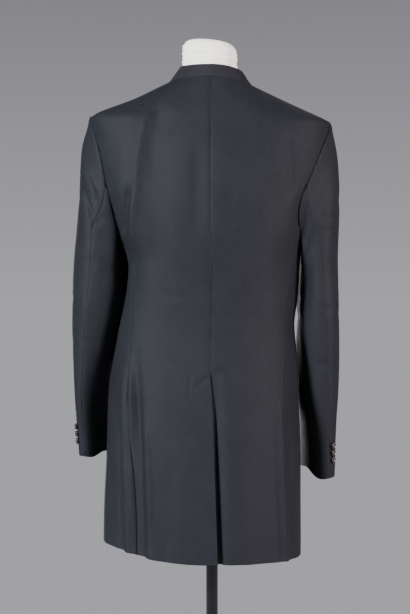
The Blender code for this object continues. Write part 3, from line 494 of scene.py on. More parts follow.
# %% Write the creases
CREASE_COLUMNS = ("a0", "z0", "a1", "z1", "a2", "z2", "low_flank", "high_flank", "relief")
CREASES = (
    ("back", "back", (
        (84, 1466, 108, 1345, 92, 1090, 36, 18, -6.4), (96, 1474, 134, 1385, 142, 1170, 9, 6, 3.2),
        (154, 1320, 160.5, 1262, 165, 1215, 6, 7.5, -7.6), (27, 1395, 29, 1310, 29, 1210, 18, 10, -2.8),
        (70, 1330, 73, 1250, 68, 1160, 16, 12, 1), (-42, 1330, -34, 1260, -27, 1190, 8, 12, -1.1),
        (-138, 1414, -146, 1358, -148, 1290, 5, 9, -3.4), (-100, 1300, -104, 1210, -100, 1110, 14, 18, 1.2),
        (146, 1462, 139, 1454, 131, 1449, 3, 4, -0.8), (131, 1470, 124, 1461, 115, 1456, 4, 3, -0.9),
        (113, 1476, 108, 1468, 100, 1463, 3, 4, -0.7), (-120, 1470, -128, 1460, -134, 1446, 4, 5, -1),
        (148, 1310, 148.5, 1220, 147, 1100, 5, 5, 3.4),)),
    ("body", "back", (
        (158, 1020, 151, 800, 142, 600, 15, 15, 7.8), (156, 1010, 152, 800, 142, 610, 2.4, 3.6, -4.8),
        (150, 900, 147, 780, 138.5, 610, 2.6, 2.4, 2.2), (145, 1040, 135, 800, 130, 610, 10, 13, -9.8),
        (124, 890, 118, 790, 113, 640, 6, 6, 2.2), (168, 885, 167.5, 780, 164, 610, 3.4, 8, -5.2),
        (161.5, 900, 161, 790, 157.5, 610, 4, 3.5, 2.2), (184, 860, 185, 740, 183, 610, 8, 6, -1.6),
        (-125, 925, -129, 780, -137, 610, 4.4, 3, 3.4), (-119, 920, -123, 780, -130, 610, 3, 6, -2.2),
        (-142, 915, -144, 780, -148, 610, 6, 6, -3),)),
    ("back_right", "back", (
        (-3, 935, -7.5, 800, -15, 600, 4.2, 6, -3.4),)),
    ("body", "back", (
        (-52, 800, -58, 700, -64, 610, 14, 10, 1.4), (-84, 860, -92, 740, -98, 610, 14, 18, -1.4),
        (72, 840, 78, 730, 84, 610, 16, 12, -1.2), (110, 1120, 60, 1106, 12, 1110, 12, 8, -0.9),
        (-20, 1074, -70, 1066, -118, 1080, 8, 12, -0.9),)),
    ("sleeve", "back", (
        (248, 1358, 230, 1325, 212, 1278, 5, 8, 3.4), (249, 1325, 232, 1285, 218, 1245, 4, 6, -3.4),
        (203, 1262, 214, 1244, 228, 1238, 5, 6, -1.8), (236, 1185, 226, 1170, 212, 1164, 7, 10, -1.6),
        (240, 1034, 228, 1024, 210, 1022, 6, 9, -1.2), (236, 1120, 238, 1080, 232, 1040, 10, 7, 1.4),
        (-236, 1262, -216, 1254, -194, 1262, 5, 7, -1.6), (-234, 1240, -214, 1228, -196, 1230, 6, 8, -1.5),
        (-230, 1150, -232, 1080, -234, 1000, 6, 10, 1.6), (-200, 1100, -212, 1086, -226, 1084, 6, 8, -1.4),
        (-196, 990, -210, 978, -226, 980, 6, 8, -1.2),)),
    ("sleeve", "left", (
        (-30, 1340, -4, 1300, 28, 1282, 8, 10, -1.6), (-44, 1120, -10, 1100, 26, 1112, 7, 9, -1.8),
        (-52, 1080, -20, 1066, 20, 1076, 6, 8, -1.4),)),
    ("sleeve", "right", (
        (-32, 1330, -4, 1296, 30, 1286, 8, 10, -1.6), (-46, 1090, -12, 1072, 24, 1080, 7, 9, -1.8),
        (-50, 1140, -18, 1124, 20, 1132, 6, 9, -1.4),)),
    ("sleeve", "front", (
        (252, 1142, 230, 1126, 206, 1130, 6, 8, -2.2), (250, 1100, 228, 1088, 206, 1096, 5, 7, -1.8),
        (248, 1052, 230, 1044, 208, 1050, 6, 8, -1.4), (-228, 1120, -206, 1104, -182, 1110, 6, 8, -2.2),
        (-226, 1078, -206, 1066, -184, 1072, 5, 7, -1.8),)),
    ("body", "front", (
        (150, 1350, 128, 1270, 124, 1170, 12, 9, -2.2), (-146, 1340, -126, 1262, -120, 1160, 9, 12, -2.2),
        (80, 1160, 46, 1100, 12, 1074, 9, 12, -1.3), (-72, 1140, -40, 1088, -10, 1070, 12, 9, -1.2),
        (110, 900, 118, 770, 122, 610, 12, 18, 2.4), (74, 880, 80, 760, 82, 610, 14, 10, -2),
        (-96, 900, -104, 770, -110, 610, 18, 12, 2.2), (-60, 860, -64, 750, -66, 610, 10, 14, -1.8),)),
    ("body", "left", (
        (40, 900, 46, 760, 48, 610, 14, 10, 1.8),)),
    ("body", "right", (
        (-30, 900, -34, 760, -38, 610, 12, 14, 1.8),)),
    ("under_sleeve_left", "back", (
        (185, 1262, 181.5, 1176, 190, 1080, 5, 13, 3), (187, 1120, 203.7, 1021, 233, 870, 5, 12, 3.4),)),
    ("under_sleeve_right", "back", (
        (-174, 1250, -167.5, 1144, -176, 1040, 12, 5, 3), (-169, 1090, -185.5, 985, -206, 830, 12, 5, 3.6),)),
    ("under_sleeve_left", "right", (
        (-12, 1245, -14, 1120, -12, 955, 22, 26, 7.6),)),
    ("side_left", "left", (
        (36, 1240, 38, 1120, 36, 955, 18, 20, 4), (-22, 1235, -24, 1130, -22, 1010, 24, 20, -3.4),)),
    ("under_sleeve_right", "left", (
        (-30, 1265, -32, 1165, -30, 1068, 18, 18, 6.4), (-32, 1070, -32, 965, -30, 860, 18, 18, 3.8),)),
    ("side_right", "right", (
        (10, 1255, 12, 1155, 10, 1050, 22, 22, 4.2),)),
    ("back_left", "back", (
        (41.2, 966, 41.3, 946, 41.4, 928, 3.4, 2.6, -1.5), (-1, 967, 19, 951, 39, 935, 2.6, 3, -1.4),)),
)
VIEWS = {"back": Vector((0, 1, 0)), "front": Vector((0, -1, 0)), "left": Vector((1, 0, 0)),
         "right": Vector((-1, 0, 0))}
SLACK = ((0.085, 0.0007), (0.034, 0.00022))      # length of a slow wave in the cloth, and its height
SLACK_DROP = 1.8             # such a wave is so much longer down the cloth than across it
HEM_HEIGHT = 0.62            # a crease that goes lower than this runs out at the hem, and doesn't fade
STEPS = 24                   # a crease's curve is read at so many steps
FADE = 0.28                  # share of its length over which it fades in and out
FLANKS = 2.4                 # it isn't felt further away than so many flanks
GRAZING, FACING = 0.05, 0.35             # nor where the cloth faces away, and in full only past the second


class Crease:
    """One row of the table, ready to be asked for its relief at a place."""

    def __init__(self, pieces, view, row):
        self.pieces, self.view = pieces, view
        fact = {name: value * MM for name, value in zip(CREASE_COLUMNS, row)}
        self.flanks, self.height = (fact["low_flank"], fact["high_flank"]), fact["relief"]
        self.start, self.bend, self.end = (Vector((fact["a%d" % i], fact["z%d" % i])) for i in range(3))
        self.bend = self.bend * 2 - (self.start + self.end) / 2
        self.places = [self.at(i / STEPS) for i in range(STEPS + 1)]
        widest = FLANKS * max(self.flanks)
        self.low = [min(p[i] for p in self.places) - widest for i in range(2)]
        self.high = [max(p[i] for p in self.places) + widest for i in range(2)]
        self.open_end = fact["z2"] < HEM_HEIGHT

    def at(self, t):
        return self.start * (1 - t) ** 2 + self.bend * (2 * t * (1 - t)) + self.end * t * t

    def crosses(self, name):
        return "sleeve" not in name if self.pieces == "body" else self.pieces in name

    def relief(self, co, normal):
        facing = normal.dot(VIEWS[self.view])
        if facing < GRAZING:
            return 0.0
        across = co.x if self.view in ("back", "front") else co.y
        if not (self.low[0] < across < self.high[0] and self.low[1] < co.z < self.high[1]):
            return 0.0
        place = Vector((across, co.z))
        step = min(range(STEPS + 1), key=lambda i: (self.places[i] - place).length_squared)
        along = self.places[min(step + 1, STEPS)] - self.places[max(step - 1, 0)]
        spanned = 2 if 0 < step < STEPS else 1
        offset = place - self.places[step]
        side = (along.x * offset.y - along.y * offset.x) / along.length
        run = (offset.dot(along) / along.length_squared * spanned + step) / STEPS
        flank = self.flanks[0] if side < 0 else self.flanks[1]
        fade = ease(run / FADE) * (1.0 if self.open_end else ease((1 - run) / FADE))
        return self.height * fade * math.exp(-(side / flank) ** 2) * ease(facing / FACING)


creases = [Crease(pieces, view, row) for pieces, view, rows in CREASES for row in rows]


def crease(skin, name):
    """Moves a skin's vertices by its creases and slack, the way they faced before the seams were drawn in."""
    mine = [c for c in creases if c.crosses(name)]
    most = 0.0
    for vertex, facing in zip(skin.verts, facings[name]):
        relief = sum(c.relief(vertex.co, facing) for c in mine)
        for length, height in SLACK:
            relief += height * noise.noise(Vector((vertex.co.x / length, vertex.co.y / length,
                                                   vertex.co.z / length / SLACK_DROP)))
        most = max(most, abs(relief))
        vertex.co += facing * relief
    skin.normal_update()
    return most


for name, skin in skins.items():
    print(name, "moved by at most", round(crease(skin, name) * 1000, 2), "mm")

# %% [markdown]
# A fold that crosses a seam moves two edges at once, and each goes the way that its own piece faces, so the
# seam would gape a little. Both edges are brought back to the middle between them, and the cloth beside
# them follows over two centimetres.

# %% Close the seams again
CLOSING = 0.020

here = {name: [vertex.co.copy() for vertex in skin.verts if vertex.is_boundary]
        for name, skin in skins.items()}
for name, skin in skins.items():
    moves = [None if partner is None else (here[partner[0]][partner[1]] - place) / 2
             for place, partner in zip(here[name], partners[name])]
    widest = max((move.length for move in moves if move is not None), default=0.0)
    follow(skin, here[name], moves, CLOSING)
    print(name, "closed by at most", round(widest * 1000, 1), "mm")

# %% [markdown]
# ## A map for the weave
# The twill must run along the cloth, so every piece gets a UV map measured in metres: up is the height,
# and across is the angle round the wearer, or round the arm, times a mean radius. A tailor lays each
# piece with its grain upright in the same way.

# %% Lay the weave on a skin
GRAIN_RADIUS = {"sleeve": 0.055, "collar": 0.072, "body": 0.160}


def lay_weave(skin, name):
    """A UV map in metres, with the grain upright."""
    axis = inside_of(name)
    kind = "sleeve" if "sleeve" in name else ("collar" if name == "collar" else "body")
    outwards = 1 if name.endswith("left") else -1
    layer = skin.loops.layers.uv.new("cloth")
    for face in skin.faces:
        for loop in face.loops:
            place = loop.vert.co - axis
            if kind == "sleeve":
                turn = outwards if "upper" in name else -outwards
                angle = math.atan2(place.y, place.x * turn)
            else:
                angle = math.atan2(place.x, -place.y if "front" in name else place.y)
            loop[layer].uv = (angle * GRAIN_RADIUS[kind], place.z)


def place_piece(work, name, material, node=None):
    """A finished bmesh as a piece of the scene, which stands for a node of the frame if one is named."""
    mesh = mesh_of(work, name)
    mesh.shade_smooth()
    mesh.materials.append(material)
    item = add_object(name, mesh)
    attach(item, "root")
    if node:
        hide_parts(node)
    return item


# %% [markdown]
# ## Thin cloth
# A skin has no thickness, so it would vanish when seen from its edge. Solidify gives it the real one, inwards
# from the outer face. The wall is left as a modifier, so the thickness stays easy to change. The flat size of
# each piece, as cut before sewing, is printed with it: the width at its widest and its length, beside the
# area of its skin, which stands for the area inside its curved outline and is never under a third or so of
# that rectangle, nor over all of it.

# %% Make the panels and sleeves
CLOTH = 0.0016               # two layers of worsted and what is between them, pressed
CUTS = {                     # width and length of the smallest rectangle that holds the cut, in metres
    "back_left": (0.250, 0.930), "back_right": (0.250, 0.930),
    "side_left": (0.235, 0.630), "side_right": (0.210, 0.640),
    "front_left": (0.260, 0.880), "front_right": (0.260, 0.880),
    "upper_sleeve_left": (0.230, 0.640), "upper_sleeve_right": (0.235, 0.680),
    "under_sleeve_left": (0.190, 0.540), "under_sleeve_right": (0.190, 0.580),
}


def make_sheet(skin, name, material, wall, cut):
    """A piece of cloth with its weave and its thickness inwards; its skin's area and its flat size are
    printed.
    """
    area, whole = sum(face.calc_area() for face in skin.faces), cut[0] * cut[1]
    lay_weave(skin, name)
    item = place_piece(skin, "cloth_" + name, material, name)
    solidify = item.modifiers.new("Thickness", "SOLIDIFY")
    solidify.thickness = wall
    solidify.offset = -1.0
    print(name, "area", round(area, 4), "of", round(whole, 4))
    return item


cloth = {}
for name, skin in skins.items():
    cloth[name] = make_sheet(skin, name, WORSTED, CLOTH, CUTS[name])

# %% [markdown]
# ## The stand collar
# A stand collar is two layers of cloth with a stiff canvas between them, cut as a curved strip and set on the
# neckline. Its top edge is a fold, so it is rounder and thicker than the body's cloth. The grain lies
# across the body's, so it catches the light differently. That light is painted into its colour: it is the
# body's wool, painted a little lighter and more plum grey. The skin is taken as for the panels, and a small
# bevel rounds the rim that Solidify gives it.

# %% Make the collar
COLLAR_WALL = 0.0026
COLLAR_CUT = (0.445, 0.048)
COLLAR_FOOT = 1.5235         # height of its foot at the back
COLLAR_FALL = 0.16           # and how steeply the foot falls to the front
COLLAR_SINK = 0.0006         # the foot sinks so far into the neckline
COLLAR_WAVE = 0.0005         # height of the soft waves in it
COLLAR_ROLL = 0.0008         # radius of its rims

collar = smoothed(outer_face("collar"), 2)
for vertex in collar.verts:
    co = vertex.co
    foot = ease((COLLAR_FOOT - co.z + COLLAR_FALL * min(co.y, 0.0)) / 0.004)
    wave = noise.noise(Vector((co.x / 0.030, co.y / 0.030, co.z / 0.020)))
    vertex.co += vertex.normal * (wave * COLLAR_WAVE - COLLAR_SINK * foot)
# The collar gets the wool with painted light, lighter and more plum grey than the body's.
cloth["collar"] = make_sheet(collar, "collar", COLLAR_WORSTED_PAINTED_LIT, COLLAR_WALL, COLLAR_CUT)
bevel = cloth["collar"].modifiers.new("Rolled rim", "BEVEL")
bevel.width = COLLAR_ROLL
bevel.segments = 3
bevel.limit_method = "ANGLE"
bevel.angle_limit = math.radians(60)

# %% [markdown]
# ## Horn buttons
# A cuff button is a small disc, turned from a plate of horn: a rounded edge, a raised rim, a sunk middle
# and four drilled holes, through which the thread crosses twice. Its profile is drawn once and spun, the
# holes are bored with a Boolean, and the result is copied to every place. The place and the way that a
# button faces are read from its node: the largest flat side is its back.

# %% Turn a button and bore its holes
def turned(profile, steps):
    """Spins a profile of (radius, height) round Z and closes it at the poles."""
    work = bmesh.new()
    points = [work.verts.new((r, 0.0, z)) for r, z in profile]
    line = [work.edges.new(pair) for pair in zip(points, points[1:])]
    bmesh.ops.spin(work, geom=points + line, cent=(0, 0, 0), axis=(0, 0, 1), angle=math.tau, steps=steps,
                   use_merge=True)
    bmesh.ops.remove_doubles(work, verts=work.verts, dist=0.000005)
    bmesh.ops.recalc_face_normals(work, faces=work.faces)
    return work


BUTTON_SHAPE = (             # radius and height, as shares of the whole ones
    (0.0, 0.36), (0.30, 0.37), (0.46, 0.42), (0.58, 0.56), (0.67, 0.80), (0.76, 0.96), (0.85, 1.0),
    (0.93, 0.93), (0.985, 0.76), (1.0, 0.54), (0.97, 0.30), (0.88, 0.10), (0.74, 0.0), (0.0, 0.0))
DRILL = 0.085                # radius of a hole, as a share of the button's, as are the next two
HOLE_PLACES = [Vector((x * 0.19, y * 0.19, 0.0)) for x in (-1, 1) for y in (-1, 1)]
TWIST = 0.07                 # radius of the thread in the holes
SHANK = 0.20                 # radius of the wound thread under the button
CUFF_BUTTON = (0.0066, 0.0034)           # radius and thickness
FRONT_BUTTON = (0.0099, 0.0048)


def button_mesh(radius, thick):
    """A bored button, its back on Z = 0."""
    body = turned([(r * radius, z * thick) for r, z in BUTTON_SHAPE], 36)
    drills = bmesh.new()
    for place in HOLE_PLACES:
        drill = bmesh.ops.create_cone(drills, cap_ends=True, segments=10, radius1=DRILL * radius,
                                      radius2=DRILL * radius, depth=4 * thick)
        bmesh.ops.translate(drills, verts=drill["verts"], vec=place * radius)
    blank = add_object("button_blank", mesh_of(body, "button_blank"))
    bits = add_object("button_drills", mesh_of(drills, "button_drills"))
    bore = blank.modifiers.new("Bore", "BOOLEAN")
    bore.operation = "DIFFERENCE"
    bore.object = bits
    bore.solver = "EXACT"
    bored = bmesh.new()
    bored.from_mesh(blank.evaluated_get(bpy.context.evaluated_depsgraph_get()).to_mesh())
    bpy.data.objects.remove(blank, do_unlink=True)
    bpy.data.objects.remove(bits, do_unlink=True)
    return bored


def thread_bar(work, start, end, radius):
    """A short piece of thread, as a many-sided capsule between two places."""
    way = end - start
    made = bmesh.ops.create_uvsphere(work, u_segments=8, v_segments=6, radius=radius)
    turn = way.to_track_quat("Z", "Y").to_matrix()
    for vertex in made["verts"]:
        shift = way.length / 2 * (1 if vertex.co.z > 0 else -1)
        vertex.co = turn @ (vertex.co + Vector((0, 0, shift))) + (start + end) / 2


def node_facing(name):
    """Where a button's node has the middle of its back, and the way it faces."""
    work = bmesh.new()
    work.from_mesh(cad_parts[name].data)
    sides = {}
    for face in work.faces:
        key = tuple(round(c, 2) for c in face.normal)
        sides.setdefault(key, []).append(face)
    back = max(sides.values(), key=lambda faces: sum(face.calc_area() for face in faces))
    area = sum(face.calc_area() for face in back)
    middle = sum((face.calc_center_median() * face.calc_area() for face in back), Vector()) / area
    outwards = -back[0].normal.copy()
    work.free()
    return middle, outwards


def sew_on(name, radius, thick, turn):
    """A button on its node's place, with its thread, turned a little on it."""
    middle, outwards = node_facing(name)
    work = button_mesh(radius, thick)
    bored_faces = len(work.faces)
    for pair in ((0, 3), (1, 2)):
        start, end = (HOLE_PLACES[i] * radius + Vector((0, 0, thick * 0.46)) for i in pair)
        thread_bar(work, start, end, radius * TWIST)
    thread_bar(work, Vector((0, 0, -0.0006)), Vector((0, 0, thick * 0.2)), radius * SHANK)
    work.faces.ensure_lookup_table()
    for face in work.faces[bored_faces:]:
        face.material_index = 1
    stand = outwards.to_track_quat("Z", "Y").to_matrix() @ Matrix.Rotation(turn, 3, "Z")
    for vertex in work.verts:
        vertex.co = stand @ vertex.co + middle
    item = place_piece(work, "horn_" + name, HORN, name)
    item.data.materials.append(THREAD)
    item.data.set_sharp_from_angle(angle=math.radians(50))


button_nodes = sorted(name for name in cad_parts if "button" in name)
for number, name in enumerate(button_nodes):
    sew_on(name, *(CUFF_BUTTON if name.startswith("cuff") else FRONT_BUTTON), 0.35 * number)
print("buttons:", len(button_nodes))

# %% [markdown]
# ## The form's bound neck
# The neck is a wooden block, bound round with strips of white cotton. The strips lie a little aslant and
# overlap, so their edges show as fine, nearly level lines, and the last end is tucked in as an upright
# step at the back. The block's top is rounded over and falls towards the wearer's right. The rings are
# spun from a profile and then bent and wrapped by a few rules.

# %% Bind the neck
NECK_LOW, NECK_HIGH = (corner.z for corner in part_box("form_neck"))
NECK_MIDDLE = Vector((0.004, 0.001, 0.0))
NECK_WIDE, NECK_DEEP = 0.051, 0.046      # half its width and half its depth
NECK_ROUNDING = 0.019        # of the top's edge
NECK_TILT = 0.10             # the top rises so much towards the wearer's left
BUILD_UP = 0.0046            # height that the tilt and the strips add to the profile
FLARE = 0.0030               # the foot's swell, where the binding is thickest
STRIPS = (                   # height of each edge at the left, in the middle and at the right, and its step
    (1.5270, 1.5285, 1.5250, 0.0008), (1.5400, 1.5395, 1.5375, 0.0009), (1.5510, 1.5500, 1.5460, 0.0010),
    (1.5580, 1.5575, 1.5600, 0.0007), (1.5660, 1.5670, 1.5640, 0.0009), (1.5790, 1.5770, 1.5720, 0.0008),
)
STEP_UNDER, STEP_OVER = 1.8, 0.63        # a strip swells under its edge, and dips over it, by so many steps
STEP_REACH = 0.0035
WANDER = 0.0012              # an edge wanders up and down by this
TUCK, TUCK_PLACE = 0.0006, 0.16          # the tucked end's step, and its side of the middle as a share
LUMPS = 0.0006               # height of the lumps in the binding


def neck_profile():
    """Half the block's outline, from the middle of its top down to its foot."""
    high = NECK_HIGH - BUILD_UP
    shoulder = high - NECK_ROUNDING
    top = [(0.0, high + 0.0010), (0.012, high + 0.0008), (0.024, high)]
    corner = [(NECK_WIDE + NECK_ROUNDING * (math.sin(a) - 1), shoulder + NECK_ROUNDING * math.cos(a))
              for a in (math.radians(8 + 9 * i) for i in range(10))]
    wall = [(NECK_WIDE, shoulder + (NECK_LOW - shoulder) * i / 44) for i in range(1, 45)]
    return top + corner + wall + [(0.0, NECK_LOW)]


neck = turned(neck_profile(), 112)
for vertex in neck.verts:
    co = vertex.co
    reach = math.hypot(co.x, co.y)
    if reach < 0.001:
        continue
    height = (co.z - NECK_LOW) / (NECK_HIGH - NECK_LOW)
    side = co.x / reach
    swell = 0.0
    for left, middle, right, step in STRIPS:
        edge = middle + (left - middle) * max(side, 0.0) + (right - middle) * max(-side, 0.0)
        edge += WANDER * noise.noise(Vector((co.x / 0.018, co.y / 0.018, middle * 40)))
        swell += step * math.exp(-abs(co.z - edge) / STEP_REACH) * (STEP_UNDER if co.z < edge else -STEP_OVER)
    tuck = ease((side - TUCK_PLACE) / 0.05) * ease((0.9 - abs(height - 0.55)) / 0.4) if co.y > 0 else 0.0
    swell += TUCK * tuck + LUMPS * noise.noise(Vector((co.x / 0.012, co.y / 0.012, co.z / 0.006)))
    flare = FLARE * ease((0.30 - height) / 0.30)
    grow = 1 + (swell * ease(height * 12) + flare) / reach * ease(reach / 0.03)
    co.x, co.y = co.x * grow, co.y * grow * NECK_DEEP / NECK_WIDE
    co.z += NECK_TILT * co.x * ease(height * 1.2)
    vertex.co = co + NECK_MIDDLE
place_piece(neck, "bound_neck", BINDING, "form_neck")
print("neck from", round(NECK_LOW, 4), "to", round(NECK_HIGH, 4))

# %% [markdown]
# ## The form's torso
# Under the jacket is a padded torso in a tight jersey cover. Only its collarbones and the underside of its
# hips can be seen. Its node is a closed solid of flat facets, so a merged copy is subdivided, which rounds
# it as stuffing rounds a cover.

# %% Cover the torso
torso = node_copy("form_torso")
pair_up(torso, math.radians(35))
torso = smoothed(torso, 2)
print("torso faces:", len(torso.faces))
place_piece(torso, "jersey_torso", JERSEY, "form_torso")

# %% [markdown]
# ## Pole and base
# The stand is a steel tube that rises from a heavy turned disc. Both are turned shapes, so each is a
# profile spun round Z. Their outlines repeat the sizes of their nodes, with the small roundings that
# a powder coat leaves on every edge.

# %% Turn the stand
POLE_LOW, POLE_HIGH = (corner.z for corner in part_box("stand_pole"))
BASE_RADIUS, _, BASE_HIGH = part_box("stand_base")[1]
POLE_TOP = ((0.0, 0.0), (0.0312, 0.0), (0.0320, 0.0008), (0.0320, 0.0052), (0.0312, 0.0062), (0.0125, 0.0110),
            (0.0110, 0.0128))            # radius, and depth under the top: the plate under the form
POLE_FOOT = ((0.0110, 0.0008), (0.0102, 0.0), (0.0, 0.0))         # radius, and height over the foot
HUB = ((0.0, 0.0), (0.0180, 0.0), (0.0190, 0.0005), (0.0218, 0.0030), (0.0220, 0.0040))
DISC = ((0.0220, 0.0215), (0.0226, 0.0195), (0.0250, 0.0172), (0.0340, 0.0140), (0.0420, 0.0127))
RIM = ((0.0200, 0.0110), (0.0080, 0.0092), (0.0035, 0.0078), (0.0008, 0.0052), (0.0, 0.0035), (0.0, 0.0006),
       (0.0006, 0.0))                    # distance in from the disc's edge, and height over the floor

pole = turned([(r, POLE_HIGH - down) for r, down in POLE_TOP]
              + [(r, POLE_LOW + up) for r, up in POLE_FOOT], 64)
base = turned([(r, BASE_HIGH - down) for r, down in HUB] + list(DISC)
              + [(BASE_RADIUS - inwards, z) for inwards, z in RIM] + [(0.0, 0.0)], 160)
for work, name in ((pole, "pole"), (base, "base")):
    item = place_piece(work, "steel_" + name, STEEL, "stand_" + name)
    item.data.set_sharp_from_angle(angle=math.radians(40))
print("stand:", round(BASE_RADIUS * 2, 3), "m across, pole to", round(POLE_HIGH, 3))

# %% [markdown]
# ## Stitches
# Two kinds of stitch can be seen, besides the buttons' own. A short slanting row at the back holds the
# vent's underlap, and sinks a little into the cloth. Each buttonhole of the front is edged with a purl of
# thick twist, knot beside knot, round a slit that runs from the button into the left front. The cuffs'
# buttons are only for show, and have no holes. A stitch is laid on the cloth by looking for the cloth's
# surface straight along Y, so it follows every fold.

# %% Find the surface of the cloth
def surface_of(*names):
    """A search tree over the outer faces of some pieces of cloth."""
    places, faces = [], []
    for name in names:
        mesh = cloth[name].data
        faces += [[len(places) + i for i in polygon.vertices] for polygon in mesh.polygons]
        places += [vertex.co.copy() for vertex in mesh.vertices]
    return BVHTree.FromPolygons(places, faces)


def touch(tree, x, z, facing):
    """The place and normal of the cloth at x and z, seen from the back (1) or the front (-1)."""
    place, normal, _, _ = tree.ray_cast(Vector((x, facing, z)), Vector((0, -facing, 0)))
    if normal is not None and normal.y * facing < 0:
        normal = -normal
    return place, normal


back = surface_of("back_left", "back_right")
print("the back's surface at the waist:", [round(c, 4) for c in touch(back, 0.05, 1.05, 1)[0]])

# %% Sew the vent's row
VENT_ROW = ((0.0063, 0.9606), (0.0345, 0.9388))      # from the seam down and outwards
STITCH = 0.0024
STITCH_PITCH = 0.0033
THREAD_RADIUS = 0.00028

stitch_row = bmesh.new()
start, end = (Vector(corner) for corner in VENT_ROW)
way = (end - start).normalized()
stitches = int((end - start).length / STITCH_PITCH)
for number in range(stitches):
    flats = [start + way * (number * STITCH_PITCH + along) for along in (0.0, STITCH)]
    thread_bar(stitch_row, *(touch(back, flat.x, flat.y, 1)[0] for flat in flats), THREAD_RADIUS)
place_piece(stitch_row, "vent_stitches", THREAD)
print("stitches in the vent's row:", stitches)

# %% Work the buttonholes
HOLE_LENGTH = 0.0235
HOLE_HALF = 0.0011           # half its width
HOLE_START = -0.0025         # the slit begins just behind the button's middle
PURL_PITCH = 0.0009
PURL, KNOT = 0.00042, 0.00012            # radius of the twist, and how much a knot adds or a gap takes
PURL_STEPS, PURL_SIDES = 112, 7


def slit_path():
    """Places round a long slit with round ends, as (across, up), and the way round it."""
    straight = HOLE_LENGTH - 2 * HOLE_HALF
    half = straight + math.pi * HOLE_HALF
    path = []
    for step in range(PURL_STEPS):
        run = 2 * half * step / PURL_STEPS
        back_again = run >= half
        run -= half if back_again else 0.0
        turn = max(run - straight, 0.0) / HOLE_HALF
        across, up = min(run, straight) + HOLE_HALF * math.sin(turn), HOLE_HALF * math.cos(turn)
        if back_again:
            across, up = straight - across, -up
        path.append((HOLE_HALF + across, up))
    return path, 2 * half


def work_hole(name, tree):
    """The purl round one buttonhole, on the cloth beside its button."""
    middle = node_facing(name)[0]
    path, whole = slit_path()
    purl = bmesh.new()
    rings = []
    for step, (across, up) in enumerate(path):
        place, normal = touch(tree, HOLE_START + across, middle.z + up, -1)
        ahead = Vector(path[(step + 1) % PURL_STEPS]) - Vector(path[step - 1])
        aside = Vector((ahead.x, 0.0, ahead.y)).normalized().cross(normal).normalized()
        knot = PURL + KNOT * math.cos(math.tau * round(whole / PURL_PITCH) * step / PURL_STEPS)
        rings.append([purl.verts.new(place + (aside * math.cos(a) + normal * math.sin(a)) * knot)
                      for a in (math.tau * i / PURL_SIDES for i in range(PURL_SIDES))])
    for one, two in zip(rings, rings[1:] + rings[:1]):
        for i in range(PURL_SIDES):
            j = (i + 1) % PURL_SIDES
            purl.faces.new((one[i], one[j], two[j], two[i]))
    bmesh.ops.recalc_face_normals(purl, faces=purl.faces)
    place_piece(purl, "buttonhole_" + name.split("_")[-1], THREAD)


front = surface_of("front_left", "front_right")
front_buttons = [name for name in button_nodes if name.startswith("front")]
for name in front_buttons:
    work_hole(name, front)
print("buttonholes:", len(front_buttons), "each", HOLE_LENGTH, "m long")

# %% [markdown]
# ## Studio
# The photo was taken in front of a plain grey backdrop with two soft lights, one high on each side of the
# camera: a cool one on the left and a weaker, warmer one on the right. A third, weak one shows the front to
# whoever walks round. The camera stands level, 2.9 m from the pole, at a little over a metre's height. Here
# a pale floor lies under the stand, below the photo's frame, and the sky is the grey of the backdrop, a
# little darker towards the top.

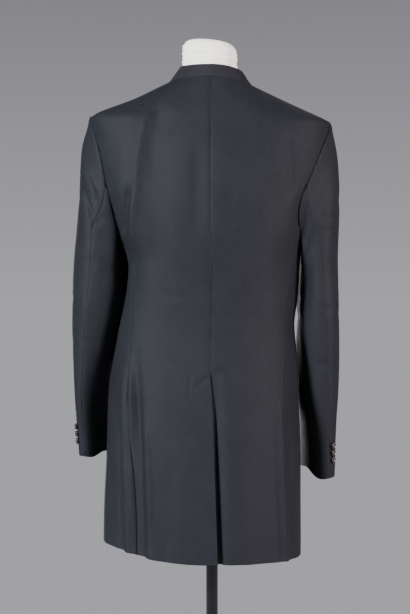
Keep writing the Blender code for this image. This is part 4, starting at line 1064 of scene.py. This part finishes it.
# %% Floor, backdrop and lights
def studio_floor(radius, drop):
    """A round floor, a hair under the stand."""
    work = bmesh.new()
    bmesh.ops.create_circle(work, cap_ends=True, radius=radius, segments=96)
    floor = add_object("studio_floor", mesh_of(work, "studio_floor"))
    floor.location = (0, 0, -drop)
    floor.data.materials.append(new_material("matt_studio_floor", "c4c4c8", 0.9)[0])
    floor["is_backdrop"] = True


def studio_sky(low, high, glow):
    """Grey with a soft gradient for the camera, and an even grey light for everything else."""
    world = bpy.data.worlds.new("studio")
    bpy.context.scene.world = world
    world.use_nodes = True
    tree = world.node_tree
    tree.nodes.clear()
    ways = add_node(tree, "TexCoord").outputs["Generated"]
    up = add_node(tree, "SeparateXYZ", {"Vector": ways}).outputs["Z"]
    share = add_node(tree, "MapRange", {"Value": up, "From Max": 0.20})
    shade = add_node(tree, "Mix", {"Factor": share, "A": linear(low), "B": linear(high)}, data_type="RGBA")
    seen = add_node(tree, "Background", {"Color": shade, "Strength": 1.0})
    light = add_node(tree, "Background", {"Color": linear("ffffff"), "Strength": glow})
    camera_ray = add_node(tree, "LightPath").outputs["Is Camera Ray"]
    both = add_node(tree, "MixShader", {0: camera_ray, 1: light, 2: seen})
    add_node(tree, "OutputWorld", {"Surface": both})


def soft_light(name, place, size, power, colour):
    """A round area light that looks at the middle of the jacket."""
    lamp = bpy.data.lights.new(name, "AREA")
    lamp.shape = "DISK"
    lamp.size = size
    lamp.energy = power
    lamp.color = linear(colour)[:3]
    item = add_object(name, lamp)
    item.location = place
    item.rotation_euler = (Vector((0.0, 0.0, 1.1)) - item.location).to_track_quat("-Z", "Y").to_euler()


studio_floor(1.9, 0.0005)
studio_sky("adadb2", "87868c", 0.20)
soft_light("key_light", (2.5, 2.6, 2.3), 0.9, 428, "f4f8ff")
soft_light("fill_light", (-2.6, 1.40, 1.7), 1.2, 172, "faeaf2")
soft_light("front_light", (0.8, -2.8, 1.1), 1.2, 50, "ffffff")
print("lights:", len(bpy.data.lights))

# %% Camera at the photograph's angle
STAND_POINT = (0.0133, 2.9, 1.088)       # from the back, a little over a metre high
PIXEL = 0.0019               # metres across one pixel of the photo, at the pole
PICTURE_HEIGHT = 614         # pixels
SENSOR = 36.0                # millimetres

camera = bpy.data.cameras.new("camera")
camera.sensor_fit = "VERTICAL"
camera.sensor_height = SENSOR
camera.lens = SENSOR * STAND_POINT[1] / (PICTURE_HEIGHT * PIXEL)
viewpoint = add_object("camera", camera)
viewpoint.location = STAND_POINT
viewpoint.rotation_euler = (math.radians(90), 0.0, math.radians(180))
bpy.context.scene.camera = viewpoint
print("lens:", round(camera.lens, 1), "mm")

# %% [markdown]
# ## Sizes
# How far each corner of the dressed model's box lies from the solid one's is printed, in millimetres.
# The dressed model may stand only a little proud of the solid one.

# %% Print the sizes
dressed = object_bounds()
growth = [[round((new - old) / MM, 1) for old, new in zip(*corners)] for corners in zip(SOLID_BOX, dressed)]
print("grown by, in mm:", growth)
